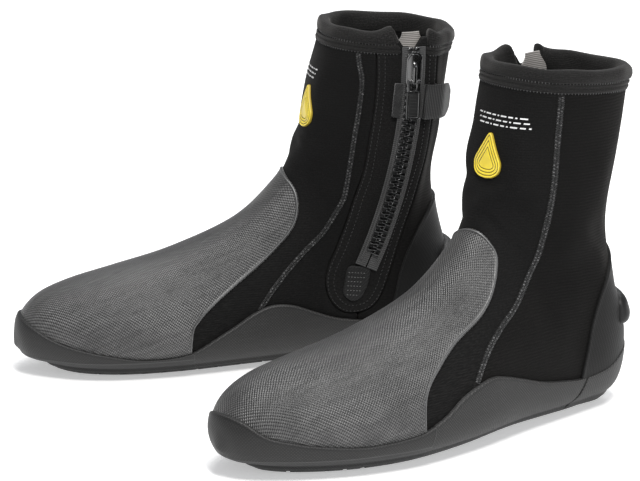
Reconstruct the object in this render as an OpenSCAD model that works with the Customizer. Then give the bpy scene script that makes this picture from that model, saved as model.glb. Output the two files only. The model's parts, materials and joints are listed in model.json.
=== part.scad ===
// A pair of zipped neoprene dive boots, standing side by side.
//
// Each boot is drawn once, as the wearer's left boot, in its own frame: toes towards -Y, back of the
// heel near y = 0, outer (lateral) side towards +X, floor at z = 0. The right boot is its mirror.
// In the pair, the origin is on the floor under the middle of both boots.

/* [Boot size] */
// Length from the back of the heel to the toe
boot_length = 297; // [288:1:306]
// Width across the ball of the foot, outside the neoprene
ball_width = 101; // [96:1:106]
// Height of the rim at the shin
shaft_height = 222; // [215:1:229]

/* [Material thickness] */
// Thickness of the neoprene upper
neoprene = 5; // [4:0.5:5.5]
// Thickness of the rubber strip round the bottom of the upper
foxing = 2.4; // [2:0.1:2.8]
// Thickness of the rubberised mesh over the vamp
overlay = 1.4; // [1:0.1:1.6]
// Thickness of the rubber heel counter
counter = 1.9; // [1.5:0.1:2.1]
// Thickness of the outsole with its tread
outsole_thickness = 5.8; // [5.2:0.1:5.8]
// Depth of the tread channels
tread_depth = 2.4; // [1.5:0.1:3]
// Thickness of the insole
insole_thickness = 4; // [3:0.5:5]

/* [Zip] */
// Radius of the curve that the zip follows down the ankle
zip_radius = 345; // [335:1:355]
// Distance between two teeth of one side
tooth_pitch = 4.2; // [3.6:0.1:4.8]
// Length of the slider
slider_length = 24; // [20:1:24]
// Length of the pull tab below its pin
tab_length = 25; // [18:1:25]
// Width of the pull tab
tab_width = 9; // [7:0.5:9]
// Radius of the pin that the pull tab turns on
pin_radius = 0.7; // [0.5:0.1:0.8]

/* [Keeper flap] */
// Length of the flap from its sewn edge
flap_length = 27; // [22:1:28]
// Height of the flap
flap_height = 22.5; // [18:0.5:23]
// Thickness of the flap
flap_thickness = 1.5; // [1:0.1:1.6]

/* [Stance] */
// Angle that each boot toes out
toe_out = 12.9; // [8:0.1:16]
// Distance from the middle to each heel
half_spacing = 67.2; // [62:0.1:80]
// Distance that the right boot stands ahead of the left
stagger = 38.8; // [0:0.1:50]

/* [Hidden] */
// Shape factors against the drawn size
kx = ball_width / 101;
ky = boot_length / 297;
kz = shaft_height / 222;
rings = 22;
steps = 28;
last_section = 14.6;
far = 320;
gap = 0.2;
clear = 0.1;
stance_shift = 146.98;

// Sections of the boot from the toe to above the rim. Each has its top point (y, z), its bottom
// point (y, z), the share of its height where it is widest, its middle x, its half width, and how
// square it is above and below the widest place.
SECTIONS = [
    [-297, 24, -296, 18, 0.45, -8, 3, 2.0, 2.2],
    [-294, 37, -289, 12, 0.45, -8, 16.5, 2.0, 2.4],
    [-282, 49, -275, 9, 0.42, -7.5, 29, 2.0, 2.6],
    [-261, 57, -255, 7, 0.38, -6.5, 40, 2.0, 3.0],
    [-231, 63.5, -226, 6, 0.36, -3, 48, 2.0, 3.4],
    [-193, 73, -190, 6, 0.34, 1, 50.5, 2.0, 3.6],
    [-151, 91.5, -147, 6.5, 0.32, 3, 46, 2.0, 3.6],
    [-126, 116, -98, 7, 0.32, 2, 39.5, 2.0, 3.2],
    [-118, 131, -44, 6, 0.36, 0, 36, 2.0, 2.8],
    [-116, 139, -12, 9, 0.42, -1, 36, 2.1, 2.3],
    [-114, 146, -4, 38, 0.46, -1, 37, 2.2, 2.1],
    [-111, 154, -16, 74, 0.50, 0, 38.5, 2.2, 2.1],
    [-108, 167, -23, 111, 0.50, 0, 39.5, 2.3, 2.2],
    [-102, 192, -18, 160, 0.50, 0, 40.5, 2.3, 2.3],
    [-94, 222, -11, 216, 0.50, 0, 41.5, 2.4, 2.4],
    [-90, 237, -8, 234, 0.50, 0, 42, 2.4, 2.4],
];

// How far the outsole stands in from the widest outline, under the rounded foxing
sole_inset = 8;
// Widest outline of the sole (x, y), from the toe along the outer side
SOLE = [
    [-8, -299.6], [12, -293.5], [28, -277], [40.5, -250], [49.5, -222], [53.9, -188],
    [53, -158], [48, -126], [42.5, -98], [38, -68], [34, -38], [27, -17.5], [14, -5.5],
    [0, -2.1], [-15, -4.8], [-28.5, -16.5], [-34, -38], [-36.2, -68], [-38.3, -98],
    [-42.5, -128], [-48, -162], [-52.8, -196], [-53.4, -228], [-50, -254], [-40.5, -280],
    [-26, -294.5],
];

// Edges of the panels, seen from the side (y, z)
SIDE_SEAM = [
    [-79, 250], [-79, 208], [-80, 180], [-84, 150], [-87, 122], [-93, 103], [-111, 80],
    [-127, 66], [-143, 52], [-158, 32], [-166, -5],
];
OVERLAY_EDGE = [
    [-127, 146], [-121, 128], [-116, 114], [-119, 101], [-130, 87], [-146, 73], [-160, 64],
    [-176, 54], [-188, 43], [-192, 31], [-190, -5],
];
FOXING_EDGE = [
    [-310, 45], [-293, 38], [-283, 31], [-257, 23], [-225, 18], [-200, 19], [-186, 23],
    [-166, 34], [-150, 42], [-135, 45.5], [-118, 42], [-100, 35], [-80, 30.5], [-57, 26],
    [-36, 29], [-20, 37], [5, 44],
];
COUNTER_EDGE = [
    [-58, -5], [-57, 27], [-55, 48], [-51, 66], [-45, 82], [-34, 98], [-20, 109], [10, 114],
];
FACING_FRONT = [
    [-68, 250], [-68, 202], [-70, 166], [-75, 132], [-84, 98], [-92, 79], [-99, 62], [-99, 50],
];
FACING_BOTTOM = [[-99, 50], [-94, 38], [-82, 32], [-69, 36], [-60, 50]];
FACING_REAR = [
    [-60, 50], [-54, 70], [-48, 92], [-41, 110], [-34, 138], [-31, 165], [-29, 202], [-28, 250],
];
// Rim and lower edge of the collar, front and back (y, z)
RIM = [[-94, 222], [-11, 216]];
COLLAR = [[-97, 209.5], [-11, 205]];
toe_seam = -190;
heel_seam = -57;

// Zip: plane through the inner side of the ankle, and an arc in it
zip_top = [-40.1, -44, 205];
zip_tilt = 1.65;
zip_seat = 0.56;
zip_flat = 11;
zip_fade = 23;
tape_width = 7.5;
tape_thickness = 0.6;
teeth_top = 2.4;
zip_length = 140;
slider_angle = asin(9.8 / zip_radius);
flap_angle = asin(30.5 / zip_radius);
pin_height = 5.2;
pin_drop = 7;
hinge_height = 4.8;
hinge_offset = 9;
flap_open = 30;
flap_bend = 25;

// ---------------------------------------------------------------- boot form

// Smooth curve through rows of numbers, at row position u
function spline(rows, u) =
    let (
        n = len(rows) - 1,
        i = min(floor(u), n - 1),
        t = u - i,
        b = rows[i],
        c = rows[i + 1],
        a = i > 0 ? rows[i - 1] : 2 * b - c,
        d = i + 2 <= n ? rows[i + 2] : 2 * c - b
    )
    0.5 * (2 * b + (c - a) * t + (2 * a - 5 * b + 4 * c - d) * t * t
        + (3 * b - a - 3 * c + d) * t * t * t);

function smooth_line(points, parts = 2) =
    let (n = (len(points) - 1) * parts)
    [for (i = [0:n]) spline(points, i / parts)];

function smooth_loop(points, parts = 1) =
    let (
        n = len(points),
        around = [for (i = [-1:n + 1]) points[(i + n) % n]]
    )
    [for (i = [0:n * parts - 1]) spline(around, 1 + i / parts)];

function ease(a, b, v) =
    let (t = max(0, min(1, (v - a) / (b - a))))
    t * t * (3 - 2 * t);

function power(v, e) = sign(v) * pow(abs(v), 2 / e);

// Point of the neoprene's outer face: section u, angle a from the top, towards the outer side
function raw_form(u, a) =
    let (
        k = spline(SECTIONS, u),
        top = [k[0], k[1]],
        bottom = [k[2], k[3]],
        middle = bottom + (top - bottom) * k[4],
        e = cos(a) >= 0 ? k[7] : k[8],
        reach = (cos(a) >= 0 ? top : bottom) - middle,
        yz = middle + reach * abs(power(cos(a), e))
    )
    [k[5] + k[6] * power(sin(a), e), yz[0], yz[1]];

// How far a point (y, z) is behind the zip's arc
function zip_side(y, z) = norm([y - zip_top[1] + zip_radius, z - zip_top[2]]) - zip_radius;

// The inner side is pressed flat along the zip, so that the slider can run
function form(u, a) =
    let (
        p = raw_form(u, a),
        plane = zip_top[0] + (zip_top[2] - p[2]) * tan(zip_tilt),
        near = 1 - ease(zip_flat, zip_fade, abs(zip_side(p[1], p[2]))),
        low = ease(38, 60, p[2]),
        w = p[0] < 0 ? near * low : 0
    )
    [kx * (p[0] + (plane - p[0]) * w), ky * p[1], kz * p[2]];

FORM = [for (i = [0:steps]) [for (j = [0:rings - 1]) form(last_section * i / steps, 360 * j / rings)]];

function unit(v) = v / norm(v);

// Outward direction at a point of the form
function outward(i, j) =
    let (
        along = FORM[min(i + 1, steps)][j] - FORM[max(i - 1, 0)][j],
        round = FORM[i][(j + 1) % rings] - FORM[i][(j + rings - 1) % rings]
    )
    unit(cross(round, along));

OUTWARD = [for (i = [0:steps]) [for (j = [0:rings - 1]) outward(i, j)]];

function middle_of(points) = [for (p = points) 1] * points / len(points);

// Solid inside the form, grown by t, from ring number first up to above the rim
module skin(t, first = 0) {
    rows = [for (i = [first:steps]) [for (j = [0:rings - 1]) FORM[i][j] + t * OUTWARD[i][j]]];
    count = len(rows);
    toe = middle_of(rows[0]);
    rim = middle_of(rows[count - 1]);
    points = concat([for (row = rows) each row], [toe, rim]);
    toe_point = count * rings;
    rim_point = toe_point + 1;
    last = (count - 1) * rings;
    sides = [
        for (i = [0:count - 2])
            for (j = [0:rings - 1])
                let (
                    k = (j + 1) % rings,
                    a = i * rings + j,
                    b = i * rings + k,
                    c = a + rings,
                    d = b + rings
                )
                each [[a, d, b], [a, c, d]]
    ];
    toe_cap = [for (j = [0:rings - 1]) [toe_point, j, (j + 1) % rings]];
    rim_cap = [for (j = [0:rings - 1]) [rim_point, last + (j + 1) % rings, last + j]];
    polyhedron(points, concat(sides, toe_cap, rim_cap));
}

// Layer of material between two distances from the form
module layer(inner, outer) {
    difference() {
        skin(outer);
        skin(inner, inner < -1 ? 3 : 0);
    }
}

// Hands a cut layer on as one closed skin
module one_skin() {
    resize([0, 0, 0]) children();
}

// Extrudes a side view (y, z) along X, between x0 and x1
module sideways(x0 = -90, x1 = 90) {
    translate([x0, 0, 0])
        rotate([90, 0, 90])
            linear_extrude(x1 - x0) scale([ky, kz]) children();
}

module trimmed() {
    offset(delta = -gap / 2) children();
}

module above(z) {
    translate([-far, -far - 40, z]) cube([2 * far, 2 * far, 2 * far]);
}

function height_at(line, y) = line[0][1] + (y - line[0][0]) * (line[1][1] - line[0][1]) / (line[1][0] - line[0][0]);

// Everything below a straight line in the side view, lowered by drop
module below(line, drop = 0) {
    sideways() polygon([
        [-far, height_at(line, -far) - drop],
        [60, height_at(line, 60) - drop],
        [60, -20],
        [-far, -20],
    ]);
}

// ---------------------------------------------------------------- side views of the panels

module in_front_of(line) {
    polygon(concat(smooth_line(line), [[-far, line[len(line) - 1][1]], [-far, line[0][1]]]));
}

module behind(line) {
    polygon(concat(smooth_line(line), [[60, line[len(line) - 1][1]], [60, line[0][1]]]));
}

module facing_view() {
    polygon(concat(smooth_line(FACING_FRONT), smooth_line(FACING_BOTTOM), smooth_line(FACING_REAR)));
}

module under_foxing_edge(raise = 0) {
    polygon(concat([for (p = smooth_line(FOXING_EDGE)) p + [0, raise]], [[5, -20], [-310, -20]]));
}

module between(y0, y1) {
    translate([y0, -20]) square([y1 - y0, 300]);
}

// Inner side behind the zip facing, and below its rear half
module rear_view() {
    bottom = smooth_line(FACING_BOTTOM);
    half = (len(bottom) - 1) / 2;
    polygon(concat(
        [for (i = [half:2 * half]) bottom[i]],
        smooth_line(FACING_REAR),
        [[60, 250], [60, -20], [bottom[half][0], -20]]
    ));
}

// Inner side between the side seam and the zip facing
module quarter_view() {
    difference() {
        behind(SIDE_SEAM);
        facing_view();
        rear_view();
    }
}

// ---------------------------------------------------------------- sole

module sole_outline(parts = 1) {
    offset(delta = -sole_inset) polygon([for (p = smooth_loop(SOLE, parts)) [p[0] * kx, p[1] * ky]]);
}

// Zigzag channel across the sole
module tread_channel(y, width) {
    points = [for (i = [-6:6]) [i * 10, y + (i % 2 == 0 ? 4 : -4)]];
    polygon(concat(points, [for (i = [12:-1:0]) points[i] + [0, width]]));
}

module outsole() {
    channel = 3;
    first = -286;
    spacing = 13;
    color("#1d1e20")
        difference() {
            linear_extrude(outsole_thickness) sole_outline(3);
            for (i = [0:21])
                translate([0, 0, -1])
                    linear_extrude(tread_depth + 1) tread_channel(first + i * spacing, channel);
        }
}

module strobel_board() {
    color("#2c2d30")
        one_skin()
            difference() {
                skin(-clear);
                above(10.8);
            }
}

module insole() {
    color("#3a3c40")
        one_skin()
            difference() {
                skin(-neoprene - 2 * clear, 3);
                above(11.2 + insole_thickness);
            }
}

// ---------------------------------------------------------------- foxing and rubber

module foxing_wall() {
    difference() {
        union() {
            skin(foxing);
            translate([0, 0, outsole_thickness + clear]) linear_extrude(9) sole_outline();
        }
        skin(clear);
        translate([-far, -far - 40, -far]) cube([2 * far, 2 * far, far + outsole_thickness + clear]);
    }
}

module foxing_piece(y0, y1, x0 = -90, x1 = 90) {
    color("#333438")
        one_skin()
            intersection() {
                foxing_wall();
                sideways(x0, x1) trimmed() intersection() {
                    under_foxing_edge();
                    between(y0, y1);
                }
            }
}

module toe_foxing() {
    foxing_piece(-320, toe_seam);
}

module lateral_foxing() {
    foxing_piece(toe_seam, heel_seam, 0, 90);
}

module medial_foxing() {
    foxing_piece(toe_seam, heel_seam, -90, 0);
}

module heel_foxing() {
    foxing_piece(heel_seam, 20);
}

module heel_counter() {
    color("#2f3034")
        one_skin()
            intersection() {
                layer(clear, counter);
                sideways() trimmed() difference() {
                    behind(COUNTER_EDGE);
                    under_foxing_edge();
                }
            }
}

// Ridge round the heel that a fin strap rests on
module fin_strap_stop() {
    color("#27282b")
        one_skin()
            intersection() {
                layer(counter + clear, counter + 4.5);
                sideways() polygon([[-24, 54], [-8, 50], [10, 52], [10, 72], [-14, 74], [-24, 68]]);
            }
}

module vamp_overlay() {
    color("#4b4c50")
        one_skin()
            intersection() {
                layer(clear, overlay);
                sideways() trimmed() difference() {
                    in_front_of(OVERLAY_EDGE);
                    under_foxing_edge();
                }
            }
}

// ---------------------------------------------------------------- neoprene upper

module neoprene_wall() {
    intersection() {
        layer(-neoprene, 0);
        above(11);
        below(RIM, 2.6);
    }
}

module front_panel() {
    color("#26272a")
        one_skin()
            intersection() {
                neoprene_wall();
                sideways() trimmed() in_front_of(SIDE_SEAM);
            }
}

module rear_panel() {
    color("#232427")
        one_skin()
            intersection() {
                neoprene_wall();
                union() {
                    sideways(0, 90) trimmed() behind(SIDE_SEAM);
                    sideways(-90, 0.01) trimmed() rear_view();
                }
            }
}

module medial_quarter() {
    color("#28292c")
        one_skin()
            intersection() {
                neoprene_wall();
                sideways(-90, 0) trimmed() quarter_view();
            }
}

module zip_facing() {
    slit = 1;
    color("#2d2e31")
        one_skin()
            difference() {
                intersection() {
                    neoprene_wall();
                    sideways(-90, 0) trimmed() facing_view();
                }
                zip_band(-slit, slit, -zip_length, 40, -12, 12, 6);
                notch();
            }
}

// V cut in the rim above the zip
module notch() {
    sideways(-90, -20) polygon([[-60, 232], [-55.5, 219], [-47.5, 211], [-44.5, 211], [-37, 219],
        [-33, 232]]);
}

// Gap between the collar's two ends, over the top of the zip
module collar_gap() {
    sideways(-90, -20) polygon([[-60, 232], [-55.5, 219], [-52.8, 203], [-35.2, 203], [-36, 219],
        [-33, 232]]);
}

module collar_binding() {
    outer = 2.2;
    inner = -neoprene - 1.6;
    color("#3a3b3f")
        one_skin()
            difference() {
                intersection() {
                    layer(inner, outer);
                    below(RIM);
                }
                intersection() {
                    layer(-neoprene - clear, clear);
                    below(RIM, 2.5);
                }
                below(COLLAR);
                collar_gap();
            }
}

// Teardrop badge on the shin, moved sideways by shift
module size_badge(shift) {
    tip = [0, 181];
    centre = [0, 166];
    radius = 11.5;
    color("#d8c21a")
        one_skin()
            intersection() {
                layer(clear, 1.7);
                translate([shift, -85 * ky, 0])
                    rotate([90, 0, 0])
                        linear_extrude(45) scale([kx, kz]) hull() {
                            translate(centre) circle(radius, $fn = 32);
                            translate(tip) circle(2, $fn = 24);
                        }
            }
}

// ---------------------------------------------------------------- zip

// Frame of the zip's flat plane: x away from the ankle, y backwards, z up along the plane
module on_zip() {
    translate([zip_top[0] * kx, zip_top[1] * ky, zip_top[2] * kz])
        rotate([0, -zip_tilt, 0])
            mirror([1, 0, 0])
                translate([0, -zip_radius, 0]) children();
}

// Frame of one place on the zip's arc, at an angle below its top
module at_zip(angle) {
    on_zip()
        translate([0, zip_radius * cos(angle), -zip_radius * sin(angle)])
            rotate([-angle, 0, 0]) children();
}

function arc_point(offset, height) =
    let (a = asin(-height / zip_radius))
    [(zip_radius + offset) * cos(a), -(zip_radius + offset) * sin(a)];

function arc_line(offset, h0, h1, parts) =
    [for (i = [0:parts]) arc_point(offset, h0 + (h1 - h0) * i / parts)];

// Strip beside the zip's arc, between two offsets, two heights and two depths
module zip_band(d0, d1, h0, h1, p0, p1, parts = 24) {
    on_zip()
        translate([p0, 0, 0])
            rotate([90, 0, 90])
                linear_extrude(p1 - p0)
                    polygon(concat(arc_line(d0, h0, h1, parts), arc_line(d1, h1, h0, parts)));
}

module zip_tape_front() {
    color("#3c3d41") zip_band(-tape_width, -0.4, -zip_length, 5, zip_seat, zip_seat + tape_thickness);
}

module zip_tape_rear() {
    color("#3c3d41") zip_band(0.4, tape_width, -zip_length, 5, zip_seat, zip_seat + tape_thickness);
}

// One side of the chain: a rail with teeth that reach between those of the other side
module zip_teeth(side, shift) {
    rail = 3.7;
    root = 2.4;
    reach = 1.5;
    tooth = tooth_pitch * 0.42;
    top = 1;
    count = floor((zip_length - 3) / tooth_pitch);
    base = zip_seat + tape_thickness + 0.05;
    edge = [
        for (i = [0:count - 1])
            let (h = top - shift - i * tooth_pitch)
            each [
                arc_point(side * root, h),
                arc_point(-side * reach, h),
                arc_point(-side * reach, h - tooth),
                arc_point(side * root, h - tooth),
            ]
    ];
    end = top - shift - (count - 1) * tooth_pitch - tooth;
    color("#141517")
        on_zip()
            translate([base, 0, 0])
                rotate([90, 0, 90])
                    linear_extrude(teeth_top - base)
                        polygon(concat(edge, arc_line(side * rail, end, top - shift, 24)));
}

module zip_teeth_front() {
    zip_teeth(-1, 0);
}

module zip_teeth_rear() {
    zip_teeth(1, tooth_pitch / 2);
}

module zip_top_stops() {
    color("#141517") {
        zip_band(-4, -0.6, 2.9, 4.8, zip_seat + tape_thickness + 0.05, teeth_top);
        zip_band(0.6, 4, 2.9, 4.8, zip_seat + tape_thickness + 0.05, teeth_top);
    }
}

module zip_end_patch() {
    color("#45464a")
        one_skin()
            difference() {
                intersection() {
                    layer(clear, 1.6);
                    sideways(-90, 0) polygon([[-86, 64], [-69, 62], [-72, 50], [-80, 43], [-89, 49]]);
                }
                zip_band(-20, 20, -zip_length - gap, 40, -12, 12, 4);
            }
}

// Stiffened fabric behind the zip
module zip_gusset() {
    depth = neoprene + 2.8;
    color("#b9b4a8") zip_band(-11, 11, -zip_length + 8, 12, -depth - 1.2, -depth, 8);
}

module zip_slider() {
    plate_bottom = teeth_top + 0.3;
    plate_top = 3.7;
    half = 5.2;
    wall = 1;
    spine = 2.4;
    spine_top = 6.5;
    color("#101113")
        at_zip(slider_angle) {
            translate([plate_bottom, 0, 0])
                rotate([90, 0, 90])
                    linear_extrude(plate_top - plate_bottom) slider_outline(half);
            for (side = [-1, 1])
                translate([zip_seat + tape_thickness + 0.2, side * (half - wall / 2) - wall / 2,
                    -slider_length / 2 + 4])
                    cube([plate_top - 1.3, wall, slider_length - 8]);
            translate([plate_top - 0.5, -spine / 2, -pin_drop - 2])
                cube([spine_top - plate_top + 0.5, spine, 14]);
            translate([pin_height, -tab_width / 2 + 0.2, -pin_drop])
                rotate([-90, 0, 0]) cylinder(r = pin_radius, h = tab_width - 0.4, $fn = 32);
        }
}

module slider_outline(half) {
    l = slider_length / 2;
    polygon([[-half + 1.6, -l], [half - 1.6, -l], [half, -l + 4], [half, l - 4], [half - 2, l - 0.8],
        [half - 3.4, l], [-half + 3.4, l], [-half + 2, l - 0.8], [-half, l - 4], [-half, -l + 4]]);
}

module pull_tab() {
    thick = 1.2;
    eye = 1.4;
    bore = pin_radius + 0.12;
    slot = 3;
    w = tab_width / 2;
    color("#17181a")
        at_zip(slider_angle)
            translate([pin_height, 0, -pin_drop])
                difference() {
                    union() {
                        rotate([90, 0, 90])
                            translate([0, 0, -eye + clear])
                                linear_extrude(thick)
                                    polygon([[-w, 0], [w, 0], [w, -tab_length + 2], [w - 2, -tab_length],
                                        [-w + 2, -tab_length], [-w, -tab_length + 2]]);
                        translate([0, -w, 0]) rotate([-90, 0, 0]) cylinder(r = eye, h = 2 * w, $fn = 32);
                    }
                    translate([-5, -slot / 2, -5.5]) cube([10, slot, 10]);
                    translate([0, -20, 0]) rotate([-90, 0, 0]) cylinder(r = bore, h = 40, $fn = 32);
                    translate([thick - eye + clear - 0.4, -w + 1.6, -tab_length + 2.5])
                        cube([2, 2 * w - 3.2, tab_length - 11]);
                }
}

// ---------------------------------------------------------------- keeper flap

// Sewn root that the flap folds on: a wedge between the ankle and the open flap
module keeper_base() {
    front = hinge_offset - 1.2;
    color("#2b2c2f")
        one_skin()
            difference() {
                at_zip(flap_angle)
                    translate([0, 0, -flap_height / 2])
                        linear_extrude(flap_height)
                            polygon([[-15, front], [3, front], [3 - 9 * tan(flap_open), front + 9],
                                [-15, front + 9]]);
                skin(clear);
            }
}

module keeper_flap() {
    straight = flap_length * 0.6;
    tail = flap_length - straight;
    t = flap_thickness;
    root = 0.3;
    bent = [straight, 0] + tail * [cos(flap_bend), -sin(flap_bend)];
    back = [straight, t] + tail * [cos(flap_bend), -sin(flap_bend)];
    color("#34353a")
        at_zip(flap_angle)
            translate([hinge_height, hinge_offset, -flap_height / 2])
                rotate([0, 0, 90 + flap_open])
                    linear_extrude(flap_height)
                        polygon([[root, 0], [straight, 0], bent, back, [straight, t], [root, t]]);
}

module keeper_loop_patch() {
    color("#4a4b4f")
        one_skin()
            intersection() {
                layer(zip_seat + tape_thickness + clear, 2.2);
                at_zip(flap_angle) translate([-20, -12.5, -flap_height / 2])
                    cube([40, 6.7, flap_height]);
            }
}

// ---------------------------------------------------------------- the pair

module left() {
    translate([half_spacing, stagger / 2 + stance_shift, 0]) rotate([0, 0, toe_out]) children();
}

module right() {
    translate([-half_spacing, -stagger / 2 + stance_shift, 0])
        rotate([0, 0, -toe_out]) mirror([1, 0, 0]) children();
}

left() outsole();  // left_outsole
left() strobel_board();  // left_strobel_board
left() insole();  // left_insole
left() toe_foxing();  // left_toe_foxing
left() lateral_foxing();  // left_lateral_foxing
left() medial_foxing();  // left_medial_foxing
left() heel_foxing();  // left_heel_foxing
left() heel_counter();  // left_heel_counter
left() fin_strap_stop();  // left_fin_strap_stop
left() vamp_overlay();  // left_vamp_overlay
left() front_panel();  // left_front_panel
left() rear_panel();  // left_rear_panel
left() medial_quarter();  // left_medial_quarter
left() zip_facing();  // left_zip_facing
left() collar_binding();  // left_collar_binding
left() size_badge(2);  // left_size_badge
left() zip_tape_front();  // left_zip_tape_front
left() zip_tape_rear();  // left_zip_tape_rear
left() zip_teeth_front();  // left_zip_teeth_front
left() zip_teeth_rear();  // left_zip_teeth_rear
left() zip_top_stops();  // left_zip_top_stops
left() zip_end_patch();  // left_zip_end_patch
left() zip_gusset();  // left_zip_gusset
left() zip_slider();  // left_zip_slider
left() pull_tab();  // left_pull_tab
left() keeper_base();  // left_keeper_base
left() keeper_flap();  // left_keeper_flap
left() keeper_loop_patch();  // left_keeper_loop_patch
right() outsole();  // right_outsole
right() strobel_board();  // right_strobel_board
right() insole();  // right_insole
right() toe_foxing();  // right_toe_foxing
right() lateral_foxing();  // right_lateral_foxing
right() medial_foxing();  // right_medial_foxing
right() heel_foxing();  // right_heel_foxing
right() heel_counter();  // right_heel_counter
right() fin_strap_stop();  // right_fin_strap_stop
right() vamp_overlay();  // right_vamp_overlay
right() front_panel();  // right_front_panel
right() rear_panel();  // right_rear_panel
right() medial_quarter();  // right_medial_quarter
right() zip_facing();  // right_zip_facing
right() collar_binding();  // right_collar_binding
right() size_badge(-7.5);  // right_size_badge
right() zip_tape_front();  // right_zip_tape_front
right() zip_tape_rear();  // right_zip_tape_rear
right() zip_teeth_front();  // right_zip_teeth_front
right() zip_teeth_rear();  // right_zip_teeth_rear
right() zip_top_stops();  // right_zip_top_stops
right() zip_end_patch();  // right_zip_end_patch
right() zip_gusset();  // right_zip_gusset
right() zip_slider();  // right_zip_slider
right() pull_tab();  // right_pull_tab
right() keeper_base();  // right_keeper_base
right() keeper_flap();  // right_keeper_flap
right() keeper_loop_patch();  // right_keeper_loop_patch
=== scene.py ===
"""Looks of a pair of zipped neoprene dive boots.

Each boot is modelled once in its own frame, in millimetres: toes towards -Y, heel near y = 0, outer
side towards +X, floor at z = 0. Boot.world() takes a point to the pair's frame, in metres.
"""

import bmesh
import bpy
import json
import math
import numpy as np
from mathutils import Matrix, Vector
from mathutils.bvhtree import BVHTree

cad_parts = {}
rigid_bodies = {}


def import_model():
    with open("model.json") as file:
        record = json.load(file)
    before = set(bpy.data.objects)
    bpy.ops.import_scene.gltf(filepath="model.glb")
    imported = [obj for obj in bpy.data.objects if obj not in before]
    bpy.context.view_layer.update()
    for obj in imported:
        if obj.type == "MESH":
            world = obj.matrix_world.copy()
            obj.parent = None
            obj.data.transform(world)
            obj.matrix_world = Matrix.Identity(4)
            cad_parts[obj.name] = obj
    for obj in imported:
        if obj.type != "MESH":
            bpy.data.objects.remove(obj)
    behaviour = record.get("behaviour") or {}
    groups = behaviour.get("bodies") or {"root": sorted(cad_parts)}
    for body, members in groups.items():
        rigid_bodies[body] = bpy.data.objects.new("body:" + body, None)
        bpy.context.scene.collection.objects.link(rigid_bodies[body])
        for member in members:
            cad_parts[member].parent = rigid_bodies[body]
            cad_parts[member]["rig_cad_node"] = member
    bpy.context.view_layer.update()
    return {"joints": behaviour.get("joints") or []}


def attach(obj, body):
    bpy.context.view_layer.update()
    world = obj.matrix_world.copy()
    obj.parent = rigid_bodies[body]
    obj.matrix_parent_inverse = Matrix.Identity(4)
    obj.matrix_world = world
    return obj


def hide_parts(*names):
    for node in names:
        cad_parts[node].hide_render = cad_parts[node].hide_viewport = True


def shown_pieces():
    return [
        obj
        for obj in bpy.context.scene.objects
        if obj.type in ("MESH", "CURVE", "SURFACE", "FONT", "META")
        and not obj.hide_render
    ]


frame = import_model()
JOINTS = {j["name"]: j for j in frame["joints"]}
CAD_NODES = {o["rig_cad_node"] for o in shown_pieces()}

# ------------------------------------------------------------------ form of the boot

# Sections from the toe to above the rim: top point (y, z), bottom point (y, z), share of the height
# where it is widest, middle x, half width, squareness above and below
SECTIONS = np.array([
    [-297, 24, -296, 18, 0.45, -8, 3, 2.0, 2.2],
    [-294, 37, -289, 12, 0.45, -8, 16.5, 2.0, 2.4],
    [-282, 49, -275, 9, 0.42, -7.5, 29, 2.0, 2.6],
    [-261, 57, -255, 7, 0.38, -6.5, 40, 2.0, 3.0],
    [-231, 63.5, -226, 6, 0.36, -3, 48, 2.0, 3.4],
    [-193, 73, -190, 6, 0.34, 1, 50.5, 2.0, 3.6],
    [-151, 91.5, -147, 6.5, 0.32, 3, 46, 2.0, 3.6],
    [-126, 116, -98, 7, 0.32, 2, 39.5, 2.0, 3.2],
    [-118, 131, -44, 6, 0.36, 0, 36, 2.0, 2.8],
    [-116, 139, -12, 9, 0.42, -1, 36, 2.1, 2.3],
    [-114, 146, -4, 38, 0.46, -1, 37, 2.2, 2.1],
    [-111, 154, -16, 74, 0.50, 0, 38.5, 2.2, 2.1],
    [-108, 167, -23, 111, 0.50, 0, 39.5, 2.3, 2.2],
    [-102, 192, -18, 160, 0.50, 0, 40.5, 2.3, 2.3],
    [-94, 222, -11, 216, 0.50, 0, 41.5, 2.4, 2.4],
    [-90, 237, -8, 234, 0.50, 0, 42, 2.4, 2.4],
])
# Bottom outline (x, y), from the toe along the outer side
SOLE = np.array([
    [-8, -299.6], [12, -293.5], [28, -277], [40.5, -250], [49.5, -222], [53.9, -188],
    [53, -158], [48, -126], [42.5, -98], [38, -68], [34, -38], [27, -17.5], [14, -5.5],
    [0, -2.1], [-15, -4.8], [-28.5, -16.5], [-34, -38], [-36.2, -68], [-38.3, -98],
    [-42.5, -128], [-48, -162], [-52.8, -196], [-53.4, -228], [-50, -254], [-40.5, -280],
    [-26, -294.5],
])
ZIP_TOP = np.array([-40.1, -44.0, 205.0])
ZIP_RADIUS = 345.0
ZIP_TILT = math.radians(1.65)
ZIP_CENTRE = ZIP_TOP - [0, ZIP_RADIUS, 0]
ZIP_OUT = np.array([-math.cos(ZIP_TILT), 0, -math.sin(ZIP_TILT)])
ZIP_UP = np.array([-math.sin(ZIP_TILT), 0, math.cos(ZIP_TILT)])
# Normals of a stitch on the zip's plane
OUT_ROWS = np.repeat(ZIP_OUT[None], 5, 0)
ZIP_LENGTH = 144
TAPE_TOP = 4.6
TOOTH_PITCH = 4.2
SLIDER_ANGLE = math.asin(9.8 / ZIP_RADIUS)
FLAP_ANGLE = math.asin(30.5 / ZIP_RADIUS)
# The slider's pin: height over the zip's plane, place across it, place along the slider
PIN = (5.2, 0, -7)
PIN_RADIUS = 0.68
NEOPRENE = 5.0
FOXING = 2.4


def unit(v):
    """Vectors scaled to length 1."""
    return v / np.maximum(np.linalg.norm(v, axis=-1, keepdims=True), 1e-9)


def run_length(points):
    """Distance along a line, at each of its points."""
    return np.concatenate([[0], np.cumsum(np.linalg.norm(np.diff(points, axis=0), axis=1))])


def least(*values):
    return np.minimum.reduce(values)


def outwards(a):
    """1 at the outer side to -1 at the inner side, for angles a in degrees."""
    return np.sin(np.radians(a))


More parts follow.
